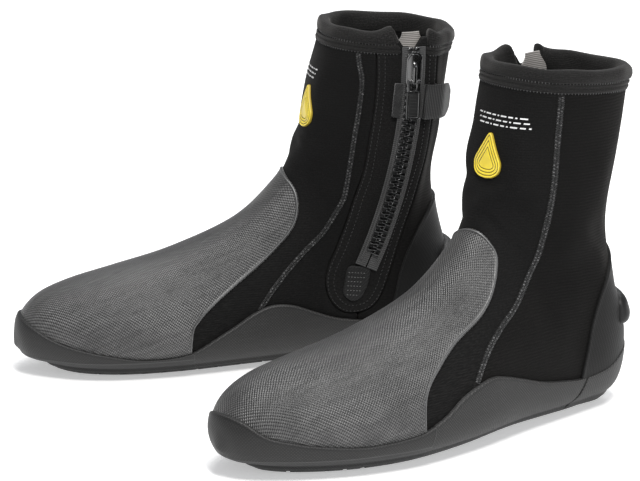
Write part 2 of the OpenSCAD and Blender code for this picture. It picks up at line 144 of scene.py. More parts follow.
def outer_share(a):
    """Share of the outer side's view in a shape, passing to the inner side's across front and back."""
    return ease(-0.35, 0.35, outwards(a))


def circle(parts):
    return np.radians(np.arange(parts) * 360 / parts)


def spline(rows, u):
    """Smooth curve through rows of numbers, at row positions u."""
    rows, u = np.asarray(rows, float), np.asarray(u, float)
    more = np.vstack([2 * rows[0] - rows[1], rows, 2 * rows[-1] - rows[-2]])
    i = np.clip(np.floor(u).astype(int), 0, len(rows) - 2)
    t = (u - i)[..., None]
    a, b, c, d = more[i], more[i + 1], more[i + 2], more[i + 3]
    return 0.5 * (2 * b + (c - a) * t + (2 * a - 5 * b + 4 * c - d) * t**2 + (3 * b - a - 3 * c + d) * t**3)


def smooth_line(points, parts=6):
    points = np.asarray(points, float)
    return spline(points, np.linspace(0, len(points) - 1, (len(points) - 1) * parts + 1))


def ease(a, b, v):
    t = np.clip((v - a) / (b - a), 0, 1)
    return t * t * (3 - 2 * t)


def power(v, e):
    return np.sign(v) * np.abs(v) ** (2 / e)


def form(u, a):
    """Outer face of the neoprene at section u and angle a (degrees from the top, outer side positive)."""
    k = spline(SECTIONS, u)
    c, s = np.cos(np.radians(a)), np.sin(np.radians(a))
    top, bottom = k[..., 0:2], k[..., 2:4]
    middle = bottom + (top - bottom) * k[..., 4:5]
    upper = c >= 0
    e = np.where(upper, k[..., 7], k[..., 8])
    reach = np.where(upper[..., None], top, bottom) - middle
    yz = middle + reach * np.abs(power(c, e))[..., None]
    x = k[..., 5] + k[..., 6] * power(s, e)
    y, z = yz[..., 0], yz[..., 1]
    plane = ZIP_TOP[0] + (ZIP_TOP[2] - z) * math.tan(ZIP_TILT)
    away = np.abs(np.hypot(y - ZIP_CENTRE[1], z - ZIP_CENTRE[2]) - ZIP_RADIUS)
    w = np.where(x < 0, (1 - ease(11, 23, away)) * ease(38, 60, z), 0)
    return np.stack([x + (plane - x) * w, y, z], -1)


def normal(u, a):
    along = form(np.asarray(u) + 0.04, a) - form(np.asarray(u) - 0.04, a)
    around = form(u, np.asarray(a) + 1.2) - form(u, np.asarray(a) - 1.2)
    n = np.cross(around, along)
    return unit(n)


# Softness of the upper: how far the fabric stands off the form, filled in by the cloth pass
SOFT_U = np.linspace(0, 15, 121)
SOFT_A = np.linspace(-180, 180, 145)
soft = np.zeros((len(SOFT_U), len(SOFT_A)))


def between(table, x, y):
    """Value of a table between its rows and columns."""
    i, j = x.astype(int), y.astype(int)
    p, q = x - i, y - j
    return ((1 - p) * (1 - q) * table[i, j] + p * (1 - q) * table[i + 1, j]
            + (1 - p) * q * table[i, j + 1] + p * q * table[i + 1, j + 1])


def sample(table, u, a):
    """Value of a table over SOFT_U and SOFT_A at (u, a)."""
    a = (np.asarray(a, float) + 180) % 360 - 180
    x = np.clip(np.asarray(u, float) / 15 * (len(SOFT_U) - 1), 0, len(SOFT_U) - 1.001)
    return between(table, x, np.clip((a + 180) / 360 * (len(SOFT_A) - 1), 0, len(SOFT_A) - 1.001))


def surface(u, a, height=0.0):
    """Point at a height above the upper, softness included."""
    lift = sample(soft, u, a) + height
    return form(u, a) + normal(u, a) * np.asarray(lift)[..., None]


def arc_table():
    """Distance round the boot from its front line, signed, over SOFT_U and SOFT_A."""
    u, a = np.meshgrid(SOFT_U, SOFT_A, indexing="ij")
    p = form(u, a)
    steps = np.linalg.norm(np.diff(p, axis=1), axis=-1)
    total = np.concatenate([np.zeros((len(SOFT_U), 1)), np.cumsum(steps, 1)], 1)
    return total - total[:, [len(SOFT_A) // 2]]


ARCS = arc_table()
TOP_LINE = form(SOFT_U, np.zeros(len(SOFT_U)))
TOP_LENGTH = run_length(TOP_LINE)

GUESS_U, GUESS_A = np.meshgrid(np.linspace(0.2, 15, 149), np.linspace(2, 178, 89), indexing="ij")
GUESS_YZ = form(GUESS_U, GUESS_A)[..., 1:].reshape(-1, 2)


def locate(yz, side):
    """(u, a) of the points seen at (y, z) from the outer side (side 1) or the inner side (side -1)."""
    yz = np.atleast_2d(np.asarray(yz, float))
    near = ((yz[:, None] - GUESS_YZ[None]) ** 2).sum(-1).argmin(1)
    u, a = GUESS_U.ravel()[near].copy(), GUESS_A.ravel()[near].copy()
    for _ in range(8):
        here = form(u, a)[:, 1:]
        du = (form(u + 0.01, a)[:, 1:] - here) / 0.01
        da = (form(u, a + 0.1)[:, 1:] - here) / 0.1
        r = yz - here
        det = du[:, 0] * da[:, 1] - du[:, 1] * da[:, 0]
        det = np.where(np.abs(det) < 1e-4, 1e-4, det)
        u = np.clip(u + np.clip((r[:, 0] * da[:, 1] - r[:, 1] * da[:, 0]) / det, -0.5, 0.5), 0.02, 14.98)
        a = np.clip(a + np.clip((du[:, 0] * r[:, 1] - du[:, 1] * r[:, 0]) / det, -8, 8), 0.3, 179.7)
    return u, a * side


# ------------------------------------------------------------------ side views of the panels (y, z)

OUTER, INNER = 1, -1
SIDE_SEAM = {
    OUTER: [[-80, 250], [-80, 208], [-81, 195], [-83, 176], [-85, 153], [-87, 134], [-88, 118], [-93, 103],
            [-111, 83], [-128, 71], [-142, 59], [-154, 42], [-160, 20], [-162, -8]],
    INNER: [[-79, 250], [-79, 206], [-77, 188], [-79, 168], [-82, 149], [-86, 118], [-89, 107], [-100, 89],
            [-113, 77], [-127, 63], [-139, 49], [-147, 36], [-152, 18], [-154, -8]],
}
OVERLAY_EDGE = {
    OUTER: [[-136, 150], [-126, 135], [-120, 125], [-117, 118], [-116, 110], [-121, 99], [-129, 88],
            [-141, 78], [-160, 68], [-175, 58], [-188, 47], [-193, 36], [-193, 20], [-192, -8]],
    INNER: [[-136, 150], [-127, 132], [-121, 122], [-116, 114], [-115, 105], [-117, 96], [-122, 88],
            [-131, 79], [-143, 69], [-160, 57], [-174, 47], [-184, 38], [-189, 28], [-190, -8]],
}
FOXING_EDGE = {
    OUTER: [[-316, 50], [-305, 45], [-293, 37], [-284, 29], [-270, 25], [-257, 22.5], [-235, 20],
            [-217, 20.5], [-202, 22], [-193, 24], [-179, 30], [-166, 38], [-151, 43.5], [-139, 45.5],
            [-128, 43.5], [-110, 38], [-93, 32.5], [-72, 28.5], [-56, 26.5], [-34, 28.5], [-18, 35],
            [-6, 40], [10, 45]],
    INNER: [[-316, 50], [-305, 44], [-291, 35], [-277, 27.5], [-261, 22.5], [-240, 18], [-222, 15],
            [-202, 15], [-188, 18], [-172, 26.5], [-160, 33], [-148, 40], [-136, 44], [-122, 43],
            [-106, 37], [-93, 32.5], [-78, 30], [-56, 27], [-34, 28.5], [-18, 35], [-6, 40], [10, 45]],
}
COUNTER_EDGE = [[-59, -8], [-58, 27], [-54, 47], [-51, 62], [-44, 81], [-33, 97], [-18, 109], [10, 114]]
FACING = [[-68, 250], [-68, 202], [-68, 187], [-70, 166], [-73, 146], [-76, 128], [-81, 112], [-86, 95],
          [-92, 79], [-98, 66], [-100, 55], [-97, 44], [-89, 36], [-79, 34.5], [-69, 38], [-62, 48],
          [-56, 66], [-50, 86], [-43, 106], [-38, 122], [-33, 140], [-30, 165], [-28, 190], [-27, 250]]
RIM = [[-94, 222], [-11, 216]]


def polygon_distance(points, polygon):
    """Signed distance from 2-D points to a closed polygon, positive inside."""
    points, polygon = np.asarray(points, float), np.asarray(polygon, float)
    p, q = polygon, np.roll(polygon, -1, 0)
    best = np.full(len(points), 1e9)
    inside = np.zeros(len(points), bool)
    for a, b in zip(p, q):
        ab = b - a
        t = np.clip(((points - a) @ ab) / max(ab @ ab, 1e-12), 0, 1)
        best = np.minimum(best, np.hypot(*(points - a - t[:, None] * ab).T))
        if a[1] != b[1]:
            crosses = (a[1] > points[:, 1]) != (b[1] > points[:, 1])
            x = a[0] + (points[:, 1] - a[1]) / (b[1] - a[1]) * ab[0]
            inside ^= crosses & (points[:, 0] < x)
    return np.where(inside, best, -best)


def in_front(line):
    line = smooth_line(line)
    return np.vstack([line, [[-500, line[-1, 1]], [-500, line[0, 1]]]])


def under(line):
    line = smooth_line(line)
    return np.vstack([line, [[line[-1, 0], -60], [line[0, 0], -60]]])


def two_sided(polygons):
    """Distance function over (P, a) from an outer and an inner side view, blended across the front."""

    def distance(p, a):
        yz = p[:, 1:]
        w = outer_share(a)
        return polygon_distance(yz, polygons[OUTER]) * w + polygon_distance(yz, polygons[INNER]) * (1 - w)

    return distance


ahead_of_seam = two_sided({s: in_front(SIDE_SEAM[s]) for s in (OUTER, INNER)})
in_overlay = two_sided({s: in_front(OVERLAY_EDGE[s]) for s in (OUTER, INNER)})
under_foxing = two_sided({s: under(FOXING_EDGE[s]) for s in (OUTER, INNER)})
FACING_POLYGON = smooth_line(FACING, 4)
COUNTER_POLYGON = np.vstack([smooth_line(COUNTER_EDGE), [[80, 114], [80, -8]]])


def rim_height(y):
    return RIM[0][1] + (y - RIM[0][0]) * (RIM[1][1] - RIM[0][1]) / (RIM[1][0] - RIM[0][0])


def below_rim(p, drop):
    return rim_height(p[:, 1]) - drop - p[:, 2]


# ------------------------------------------------------------------ meshes


class Boot:
    """One boot's place in the pair, from the zip's joint in the record."""

    def __init__(self, side):
        self.side = side
        self.flip = -1 if side == "right" else 1
        joint = JOINTS[side + "_zip_slide"]
        axis = np.array(joint["axis"])
        yaw = math.atan2(abs(axis[1]), abs(axis[0])) * self.flip
        self.turn = np.array([[math.cos(yaw), -math.sin(yaw), 0], [math.sin(yaw), math.cos(yaw), 0],
                              [0, 0, 1]])
        centre = self.turn @ (ZIP_CENTRE * [self.flip, 1, 1])
        self.shift = np.array(joint["pos_m"]) * 1000 - centre

    def world(self, p):
        return ((np.asarray(p, float) * [self.flip, 1, 1]) @ self.turn.T + self.shift) / 1000


BOOTS = [Boot("left"), Boot("right")]


def outward(mesh):
    """Turns the faces of closed skins outwards."""
    b = bmesh.new()
    b.from_mesh(mesh)
    bmesh.ops.recalc_face_normals(b, faces=b.faces)
    b.to_mesh(mesh)
    b.free()


class Shell:
    """Vertices, faces, texture coordinates (mm) and edge distances gathered for one piece."""

    def __init__(self):
        self.points, self.faces, self.uvs, self.edges = [], [], [], []
        self.count = 0

    def add(self, points, faces, uv=None, edge=None):
        points = np.asarray(points, float).reshape(-1, 3)
        self.points.append(points)
        self.faces += [tuple(int(i) + self.count for i in f) for f in faces]
        self.uvs.append(points[:, :2] if uv is None else np.asarray(uv, float).reshape(-1, 2))
        self.edges.append(np.full(len(points), 9.0) if edge is None else np.asarray(edge, float).ravel())
        self.count += len(points)

    def build(self, name, paint, slot=None, body="boot", replaces=None, boots=BOOTS):
        """The piece on each of the boots; it takes the place of the CAD node it shares a name with."""
        return [self.build_one(boot, name, paint, body, replaces or name) for boot in boots]

    def build_one(self, boot, name, paint, body, replaces):
        points = boot.world(np.concatenate(self.points))
        faces = [f[::-1] for f in self.faces] if boot.flip < 0 else self.faces
        mesh = bpy.data.meshes.new(name)
        mesh.from_pydata([tuple(p) for p in points], [], faces)
        uv = np.concatenate(self.uvs)
        layer = mesh.uv_layers.new(name="UVMap")
        index = np.zeros(len(mesh.loops), np.int32)
        mesh.loops.foreach_get("vertex_index", index)
        layer.data.foreach_set("uv", uv[index].astype(np.float32).ravel())
        edge = mesh.attributes.new("edge", "FLOAT", "POINT")
        edge.data.foreach_set("value", np.concatenate(self.edges).astype(np.float32))
        mesh.validate()
        outward(mesh)
        mesh.shade_smooth()
        mesh.set_sharp_from_angle(angle=math.radians(40))
        mesh.materials.append(PAINT[paint])
        o = bpy.data.objects.new(f"{boot.side}_{name}", mesh)
        bpy.context.scene.collection.objects.link(o)
        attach(o, f"{boot.side}_{body}")
        if f"{boot.side}_{replaces}" in CAD_NODES:
            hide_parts(f"{boot.side}_{replaces}")
        return o


def split(field, faces, level):
    """Cuts triangles where the last column of field passes level."""
    s = field[:, -1] - level
    over = s > 0
    count = over[faces].sum(1)
    mixed = (count == 1) | (count == 2)
    cut = faces[mixed]
    if not len(cut):
        return field, faces
    side = over[cut]
    odd = np.where(side.sum(1) == 1, side.argmax(1), (~side).argmax(1))
    r = np.arange(len(cut))
    a, b, c = cut[r, odd], cut[r, (odd + 1) % 3], cut[r, (odd + 2) % 3]
    pairs = np.sort(np.concatenate([np.stack([a, b], 1), np.stack([a, c], 1)]), 1)
    unique, inverse = np.unique(pairs, axis=0, return_inverse=True)
    inverse = inverse.ravel()
    t = (s[unique[:, 0]] / (s[unique[:, 0]] - s[unique[:, 1]])).clip(0.01, 0.99)[:, None]
    new = field[unique[:, 0]] * (1 - t) + field[unique[:, 1]] * t
    new[:, -1] = level
    ab, ac = len(field) + inverse[: len(cut)], len(field) + inverse[len(cut):]
    faces = np.concatenate([faces[~mixed], np.stack([a, ab, ac], 1), np.stack([ab, b, c], 1),
                            np.stack([ab, c, ac], 1)])
    return np.vstack([field, new]), faces


def grid_faces(n, m):
    i = np.arange(n * m).reshape(n, m)
    a, b, c, d = i[:-1, :-1].ravel(), i[:-1, 1:].ravel(), i[1:, :-1].ravel(), i[1:, 1:].ravel()
    return np.concatenate([np.stack([a, b, d], 1), np.stack([a, d, c], 1)])


def patch(grid, region, place, uv, low, profile, levels):
    """Closed piece over the part of a parameter grid where region is positive.

    grid holds two parameter axes, place(x, y, height) gives points, profile(distance) the top height.
    """
    x, y = np.meshgrid(*grid, indexing="ij")
    field = np.stack([x.ravel(), y.ravel(), region(x.ravel(), y.ravel())], 1)
    faces = grid_faces(len(grid[0]), len(grid[1]))
    reach = field[:, 2][faces].max(1)
    faces = faces[reach > 0]
    for level in [0] + list(levels):
        field, faces = split(field, faces, level)
    faces = faces[field[:, 2][faces].mean(1) > 1e-9]
    used, faces = np.unique(faces, return_inverse=True)
    faces = faces.reshape(-1, 3)
    field = field[used]
    n = len(field)
    d = np.maximum(field[:, 2], 0)
    top = place(field[:, 0], field[:, 1], profile(d))
    under_side = place(field[:, 0], field[:, 1], np.full(n, float(low)))
    sides = np.concatenate([faces[:, [0, 1]], faces[:, [1, 2]], faces[:, [2, 0]]])
    key = np.sort(sides, 1)
    _, first, count = np.unique(key, axis=0, return_index=True, return_counts=True)
    rim = sides[first[count == 1]]
    walls = np.stack([rim[:, 1], rim[:, 0], rim[:, 0] + n, rim[:, 1] + n], 1)
    st = uv(field[:, 0], field[:, 1])
    shell = Shell()
    shell.add(
        np.vstack([top, under_side]),
        [tuple(f) for f in faces] + [tuple(f[::-1] + n) for f in faces] + [tuple(w) for w in walls],
        np.vstack([st, st]),
        np.concatenate([d, d]),
    )
    return shell


def fabric_uv(u, a):
    return np.stack([sample(ARCS, u, a), form(u, a)[..., 2]], -1)


def vamp_uv(u, a):
    return np.stack([sample(ARCS, u, a), np.interp(u, SOFT_U, TOP_LENGTH)], -1)


def rounded(low, high, radius, start=0.3):
    """Height profile that rises from an edge in a quarter round."""

    def height(d):
        t = np.clip(d / radius, 0, 1)
        return low + (high - low) * (start + (1 - start) * np.sqrt(1 - (1 - t) ** 2))

    return height


def flat(height):
    """Height profile without any edge."""
    return lambda d: np.full(len(d), height)


def form_patch(region, low, profile, levels, u, a, uv=fabric_uv):
    """patch() over the upper; region is a function of (P, a)."""

    def by_grid(x, y):
        return region(form(x, y), (y + 180) % 360 - 180)

    return patch((np.linspace(*u), np.linspace(*a)), by_grid, surface, uv, low, profile, levels)


def loft(shell, rows, caps=True):
    """Joins rows of points, each a closed outline."""
    rows = np.asarray(rows, float)
    n, m = rows.shape[:2]
    i = np.arange(n * m).reshape(n, m)
    j = np.roll(i, -1, 1)
    faces = [tuple(f) for f in np.stack([i[:-1], j[:-1], j[1:], i[1:]], -1).reshape(-1, 4)]
    if caps:
        faces += [tuple(i[0][::-1]), tuple(i[-1])]
    uv = np.stack(np.meshgrid(run_length(rows.mean(1)), run_length(rows[n // 2]), indexing="ij"), -1)
    shell.add(rows.reshape(-1, 3), faces, uv)


def signed_area(outline):
    """Area of a plane outline, positive when it runs counter-clockwise."""
    x, y = outline[:, 0], outline[:, 1]
    return 0.5 * np.sum(x * np.roll(y, -1) - np.roll(x, -1) * y)


def outline_rings(outline, bevel, steps=3):
    """(outline, depth) rings of a bevelled edge: depth 0 at the face, 1 at full width."""
    outline = np.asarray(outline, float)
    ahead, behind = np.roll(outline, -1, 0) - outline, outline - np.roll(outline, 1, 0)
    n1 = unit(np.stack([ahead[:, 1], -ahead[:, 0]], 1))
    n2 = unit(np.stack([behind[:, 1], -behind[:, 0]], 1))
    mid = n1 + n2
    mid /= np.maximum(np.linalg.norm(mid, axis=1), 1e-6)[:, None]
    mid /= np.maximum((mid * n1).sum(1), 0.5)[:, None]
    mid *= np.sign(signed_area(outline))
    rings = []
    for k in range(steps + 1):
        t = math.pi / 2 * k / steps
        rings.append((outline - mid * bevel * (1 - math.sin(t)), bevel * (1 - math.cos(t))))
    return rings


def slab(shell, outline, z0, z1, bevel, place):
    """Bevelled plate with an outline in (x, y) between two heights; place takes points to the boot."""
    rings = outline_rings(outline, bevel)
    rows = [np.column_stack([r, np.full(len(r), z0 + d)]) for r, d in rings]
    rows += [np.column_stack([r, np.full(len(r), z1 - d)]) for r, d in rings[::-1]]
    rows = [place(r if signed_area(rings[0][0]) > 0 else r[::-1]) for r in rows]
    loft(shell, rows)


def rounded_outline(points, radius, steps=4):
    """Polygon with its corners rounded."""
    points = np.asarray(points, float)
    out = []
    for i, p in enumerate(points):
        a, b = points[i - 1] - p, points[(i + 1) % len(points)] - p
        la, lb = np.linalg.norm(a), np.linalg.norm(b)
        r = min(radius, 0.45 * la, 0.45 * lb)
        a, b = p + a / la * r, p + b / lb * r
        for k in range(steps + 1):
            t = k / steps
            out.append((1 - t) ** 2 * a + 2 * t * (1 - t) * p + t * t * b)
    return np.array(out)


def tube(shell, points, normals, radius, sides=5):
    """Thread along points, oriented by the surface normals."""
    points, normals = np.asarray(points, float), np.asarray(normals, float)
    t = unit(np.gradient(points, axis=0))
    b = unit(np.cross(normals, t))
    n = np.cross(t, b)
    w = circle(sides)[None, :, None]
    ring = np.cos(w) * b[:, None] + np.sin(w) * n[:, None]
    size = np.full(len(points), float(radius))
    size[0] = size[-1] = radius * 0.5
    loft(shell, points[:, None] + ring * size[:, None, None])


def resample(line, step):
    """Points at equal steps along a polyline of any dimension."""
    line = np.asarray(line, float)
    s = run_length(line)
    t = np.linspace(0, s[-1], max(2, int(round(s[-1] / step)) + 1))
    return np.stack([np.interp(t, s, line[:, k]) for k in range(line.shape[1])], 1)


class Path:
    """A line over the upper, given in the side view, with points, normals and directions."""

    def __init__(self, yz, side, step, height=0.0, smooth=True):
        line = resample(smooth_line(yz, 8) if smooth else np.asarray(yz, float), 0.5)
        u, a = locate(line, side)
        full = surface(u, a, height)
        s = run_length(full)
        t = np.linspace(0, s[-1], len(resample(full, step)))
        self.u, self.a = np.interp(t, s, u), np.interp(t, s, a)
        self.points = surface(self.u, self.a, height)
        self.normals = normal(self.u, self.a)
        self.steps(t)

    def steps(self, s):
        self.s = s
        self.across = np.cross(self.normals, unit(np.gradient(self.points, axis=0)))

    def at(self, s):
        """Point, sideways direction and normal at distances s along the line."""
        tables = (self.points, self.across, self.normals)
        return [np.stack([np.interp(s, self.s, v[:, i]) for i in range(3)], -1) for v in tables]


# Heights of a stitch over the fabric, along its length, in thread radii
ARCH = np.array([-0.5, 0.55, 0.75, 0.55, -0.5])


def zigzag(shell, path, width, pitch, radius, phase=0.0):
    """Zigzag thread over a path, sunk at its turns."""
    turns = int(path.s[-1] / pitch * 2)
    s = np.linspace(0, path.s[-1], turns * 4 + 1)
    k = s / pitch * 2 + phase
    wave = np.abs((k % 2) - 1) * 2 - 1
    wave = np.sign(wave) * np.minimum(np.abs(wave) * 1.15, 1)
    at = path.at(s)
    lift = radius * (0.35 + 0.9 * (1 - wave**4))
    points = at[0] + at[1] * (wave * width / 2)[:, None] + at[2] * lift[:, None]
    tube(shell, points, at[2], radius)


def running(shell, path, length, gap, radius):
    """Running stitches along a path: short arched threads."""
    s = 0.0
    while s + length < path.s[-1]:
        t = np.linspace(s, s + length, 5)
        base, _, up = path.at(t)
        tube(shell, base + up * (ARCH * radius)[:, None], up, radius)
        s += length + gap


def ticks(shell, path, length, pitch, radius):
    """Short stitches across a path."""
    s = pitch / 2
    while s < path.s[-1]:
        base, side, up = path.at(s)
        t = np.linspace(-0.5, 0.5, 5)[:, None] * length
        tube(shell, base + side * t + up * (ARCH * radius)[:, None], np.repeat(up[None], 5, 0), radius)
        s += pitch

# ------------------------------------------------------------------ cloth pass


def held(p, a):
    """Share, 0 to 1, by which the upper is held still: seams, zip, sole, collar and vamp."""
    off = np.abs(np.hypot(p[:, 1] - ZIP_CENTRE[1], p[:, 2] - ZIP_CENTRE[2]) - ZIP_RADIUS)
    inner = outwards(a) < 0
    loose = [
        ease(2, 13, np.abs(ahead_of_seam(p, a))),
        ease(2, 16, below_rim(p, 14)),
        ease(2, 14, -under_foxing(p, a)),
        np.where(inner, ease(13, 26, off), 1.0),
        ease(-6, 14, -in_overlay(p, a)),
        ease(0, 12, -polygon_distance(p[:, 1:], COUNTER_POLYGON)),
    ]
    return 1 - np.minimum.reduce(loose)


def relax_upper():
    """Cloth simulation of the neoprene between its seams: light pressure, slightly too much fabric."""
    us, round_ = np.linspace(3, 15, 97), np.linspace(-180, 180, 129)
    u, a = np.meshgrid(us, round_[:-1], indexing="ij")
    rest = form(u, a).reshape(-1, 3)
    ring = np.arange(rest.shape[0]).reshape(u.shape)
    ahead = np.roll(ring, -1, 1)
    faces = np.stack([ring[:-1], ahead[:-1], ahead[1:], ring[1:]], -1).reshape(-1, 4)
    mesh = bpy.data.meshes.new("cloth_pass")
    mesh.from_pydata([tuple(p / 1000) for p in rest], [], faces.tolist())
    o = bpy.data.objects.new("cloth_pass", mesh)
    bpy.context.scene.collection.objects.link(o)
    hold = held(rest, a.ravel())
    group = o.vertex_groups.new(name="held")
    for i, w in enumerate(hold):
        group.add([i], float(w), "REPLACE")
    cloth = o.modifiers.new("cloth", "CLOTH")
    options = cloth.settings
    options.quality = 6
    options.mass = 0.4
    options.tension_stiffness = options.compression_stiffness = 12
    options.shear_stiffness = 6
    options.bending_stiffness = 5
    options.vertex_group_mass = "held"
    options.pin_stiffness = 1.0
    options.shrink_min = options.shrink_max = -0.014
    options.use_pressure = True
    options.uniform_pressure_force = 4.0
    options.effector_weights.gravity = 0
    last = 20
    cloth.point_cache.frame_start, cloth.point_cache.frame_end = 1, last
    for number in range(1, last + 1):
        bpy.context.scene.frame_set(number)
    moved = np.zeros(len(rest) * 3, np.float32)
    evaluated = o.evaluated_get(bpy.context.evaluated_depsgraph_get())
    evaluated.data.vertices.foreach_get("co", moved)
    shift = moved.reshape(-1, 3) * 1000 - rest
    lift = (shift * normal(u, a).reshape(-1, 3)).sum(1).reshape(u.shape)
    bpy.context.scene.frame_set(1)
    bpy.data.objects.remove(o)
    lift = np.nan_to_num(lift).clip(-1.6, 1.9) * (1 - hold.reshape(u.shape)) ** 0.3
    for _ in range(4):
        lift = (np.roll(lift, 1, 1) + np.roll(lift, -1, 1) + 2 * lift) / 4
        lift[1:-1] = (lift[:-2] + lift[2:] + 2 * lift[1:-1]) / 4
    wrapped = np.concatenate([lift, lift[:, :1]], 1)
    rows = np.stack([np.interp(SOFT_A, round_, row) for row in wrapped])
    columns = np.stack([np.interp(SOFT_U, us, rows[:, k], left=0) for k in range(rows.shape[1])], 1)
    print("cloth pass: lift from", round(float(columns.min()), 2), "to", round(float(columns.max()), 2), "mm")
    return columns


soft[:] = relax_upper()

# ------------------------------------------------------------------ materials

# Distances of the badge's grooves from its edge
BADGE_LINES = (1.6, 3.4, 5.2)


class Paint:
    """A procedural material, built node by node; texture coordinates are millimetres along the fabric."""

    def __init__(self, name):
        self.material = bpy.data.materials.new(name)
        self.material.use_nodes = True
        self.tree = self.material.node_tree
        self.bsdf = self.tree.nodes["Principled BSDF"]
        self.uv = self.node("ShaderNodeUVMap").outputs[0]
        parts = self.node("ShaderNodeSeparateXYZ", Vector=self.uv)
        self.s, self.t = parts.outputs[0], parts.outputs[1]
        self.place = self.node("ShaderNodeTexCoord").outputs["Object"]
        self.edge = self.node("ShaderNodeAttribute", attribute_name="edge").outputs["Fac"]

    def node(self, kind, **values):
        node = self.tree.nodes.new(kind)
        for key, value in values.items():
            if key in node.inputs:
                self.put(node.inputs[key], value)
            else:
                setattr(node, key, value)
        return node

    def put(self, socket, value):
        if isinstance(value, bpy.types.NodeSocket):
            self.tree.links.new(value, socket)
        else:
            socket.default_value = (*value, 1) if isinstance(value, tuple) else value

    def math(self, kind, a, b=0.0, c=0.0):
        node = self.tree.nodes.new("ShaderNodeMath")
        node.operation = kind
        for socket, value in zip(node.inputs, (a, b, c)):
            self.put(socket, value)
        return node.outputs[0]

    def times(self, a, b):
        return self.math("MULTIPLY", a, b)

    def scaled(self, value, factor, plus):
        return self.math("MULTIPLY_ADD", value, factor, plus)

    def span(self, value, a, b, low=0.0, high=1.0):
        """value in a to b becomes low to high, smoothly."""
        node = self.node("ShaderNodeMapRange", interpolation_type="SMOOTHSTEP")
        for key, v in zip(("Value", "From Min", "From Max", "To Min", "To Max"), (value, a, b, low, high)):
            self.put(node.inputs[key], v)
        return node.outputs[0]

    def mix(self, share, a, b):
        node = self.node("ShaderNodeMix", data_type="RGBA")
        self.put(node.inputs[0], share)
        self.put(node.inputs[6], a)
        self.put(node.inputs[7], b)
        return node.outputs[2]

    def tones(self, share, value, low, high, warm=0.0):
        """A grey value times low where share is 0, times high where it is 1."""
        return self.mix(share, grey(value * low, warm), grey(value * high, warm))

    def line(self, value, a, b, c, d):
        """A line over value: rises from a to b and falls from c to d."""
        return self.times(self.span(value, a, b), self.span(value, d, c))

    def noise(self, vector, scale, detail=3.0, rough=0.55):
        node = self.node("ShaderNodeTexNoise", Vector=vector, Scale=scale, Detail=detail, Roughness=rough)
        return node.outputs["Fac"]

    def ribs(self, value, pitch):
        """Wave from 0 to 1 along a coordinate."""
        angle = self.scaled(value, 2 * math.pi / pitch, 0.0)
        return self.scaled(self.math("SINE", angle), 0.5, 0.5)

    def stretched(self, x, y):
        """Texture coordinates stretched along and across the fabric."""
        node = self.node("ShaderNodeMapping", Vector=self.uv)
        node.inputs["Scale"].default_value = (x, y, 1)
        return node.outputs[0]

    def bumps(self, *layers):
        """Chains (height, distance in mm, strength) into the normal."""
        last = None
        for height, distance, strength in layers:
            node = self.node("ShaderNodeBump", Height=height, Distance=distance / 1000, Strength=strength)
            if last is not None:
                self.put(node.inputs["Normal"], last)
            last = node.outputs[0]
        self.put(self.bsdf.inputs["Normal"], last)

    def finish(self, colour, rough, sheen=0.0, sheen_rough=0.4, coat=0.0, specular=0.5, metallic=0.0,
               sheen_tint=(1, 1, 1)):
        for key, value in (("Base Color", colour), ("Roughness", rough), ("Sheen Weight", sheen),
                           ("Sheen Roughness", sheen_rough), ("Coat Weight", coat),
                           ("Coat Roughness", 0.18), ("Specular IOR Level", specular),
                           ("Metallic", metallic), ("Sheen Tint", sheen_tint)):
            self.put(self.bsdf.inputs[key], value)
        return self.material


def grey(v, warm=0.0):
    return (v * (1 + warm), v, v * (1 - warm))


def jersey(name, value, rib=0.5, warm=0.03, pitch=1.5, sheen=0.25):
    """Knitted nylon face of neoprene: fine ribs along the height, soft dents, slight fading."""
    p = Paint(name)
    drift = p.noise(p.stretched(0.08, 0.05), 1.0, 2)
    shifted = p.scaled(drift, 1.2, p.t)
    rows = p.ribs(shifted, pitch)
    columns = p.ribs(p.s, 0.9)
    knit = p.times(rows, p.scaled(columns, 0.45, 0.55))
    cloud = p.noise(p.place, 14, 4)
    lint = p.span(p.noise(p.uv, 1.3, 2, 0.8), 0.66, 0.78)
    fleck = p.noise(p.stretched(2.2, 0.7), 1.0, 3, 0.7)
    shade = p.scaled(knit, 0.55, p.scaled(fleck, 0.55, 0.42))
    base = p.tones(p.span(cloud, 0.3, 0.75), value, 0.75, 1.35, warm)
    dark = p.mix(p.span(shade, 0.3, 1.1), grey(value * 0.4, warm), base)
    pits = p.noise(p.uv, 1.0, 2, 0.9)
    dark = p.mix(p.span(pits, 0.42, 0.62, 0.75, 0), dark, grey(value * 0.15))
    colour = p.mix(p.times(lint, 0.45), dark, grey(value * 6, warm))
    rough = p.scaled(cloud, 0.15, 0.74)
    p.bumps((p.noise(p.place, 26, 2), 2.2, 0.22), (p.noise(p.uv, 0.35, 3), 0.5, 0.25), (knit, 0.22, rib))
    return p.finish(colour, rough, sheen, 0.45, specular=0.12, sheen_tint=grey(0.75, warm))


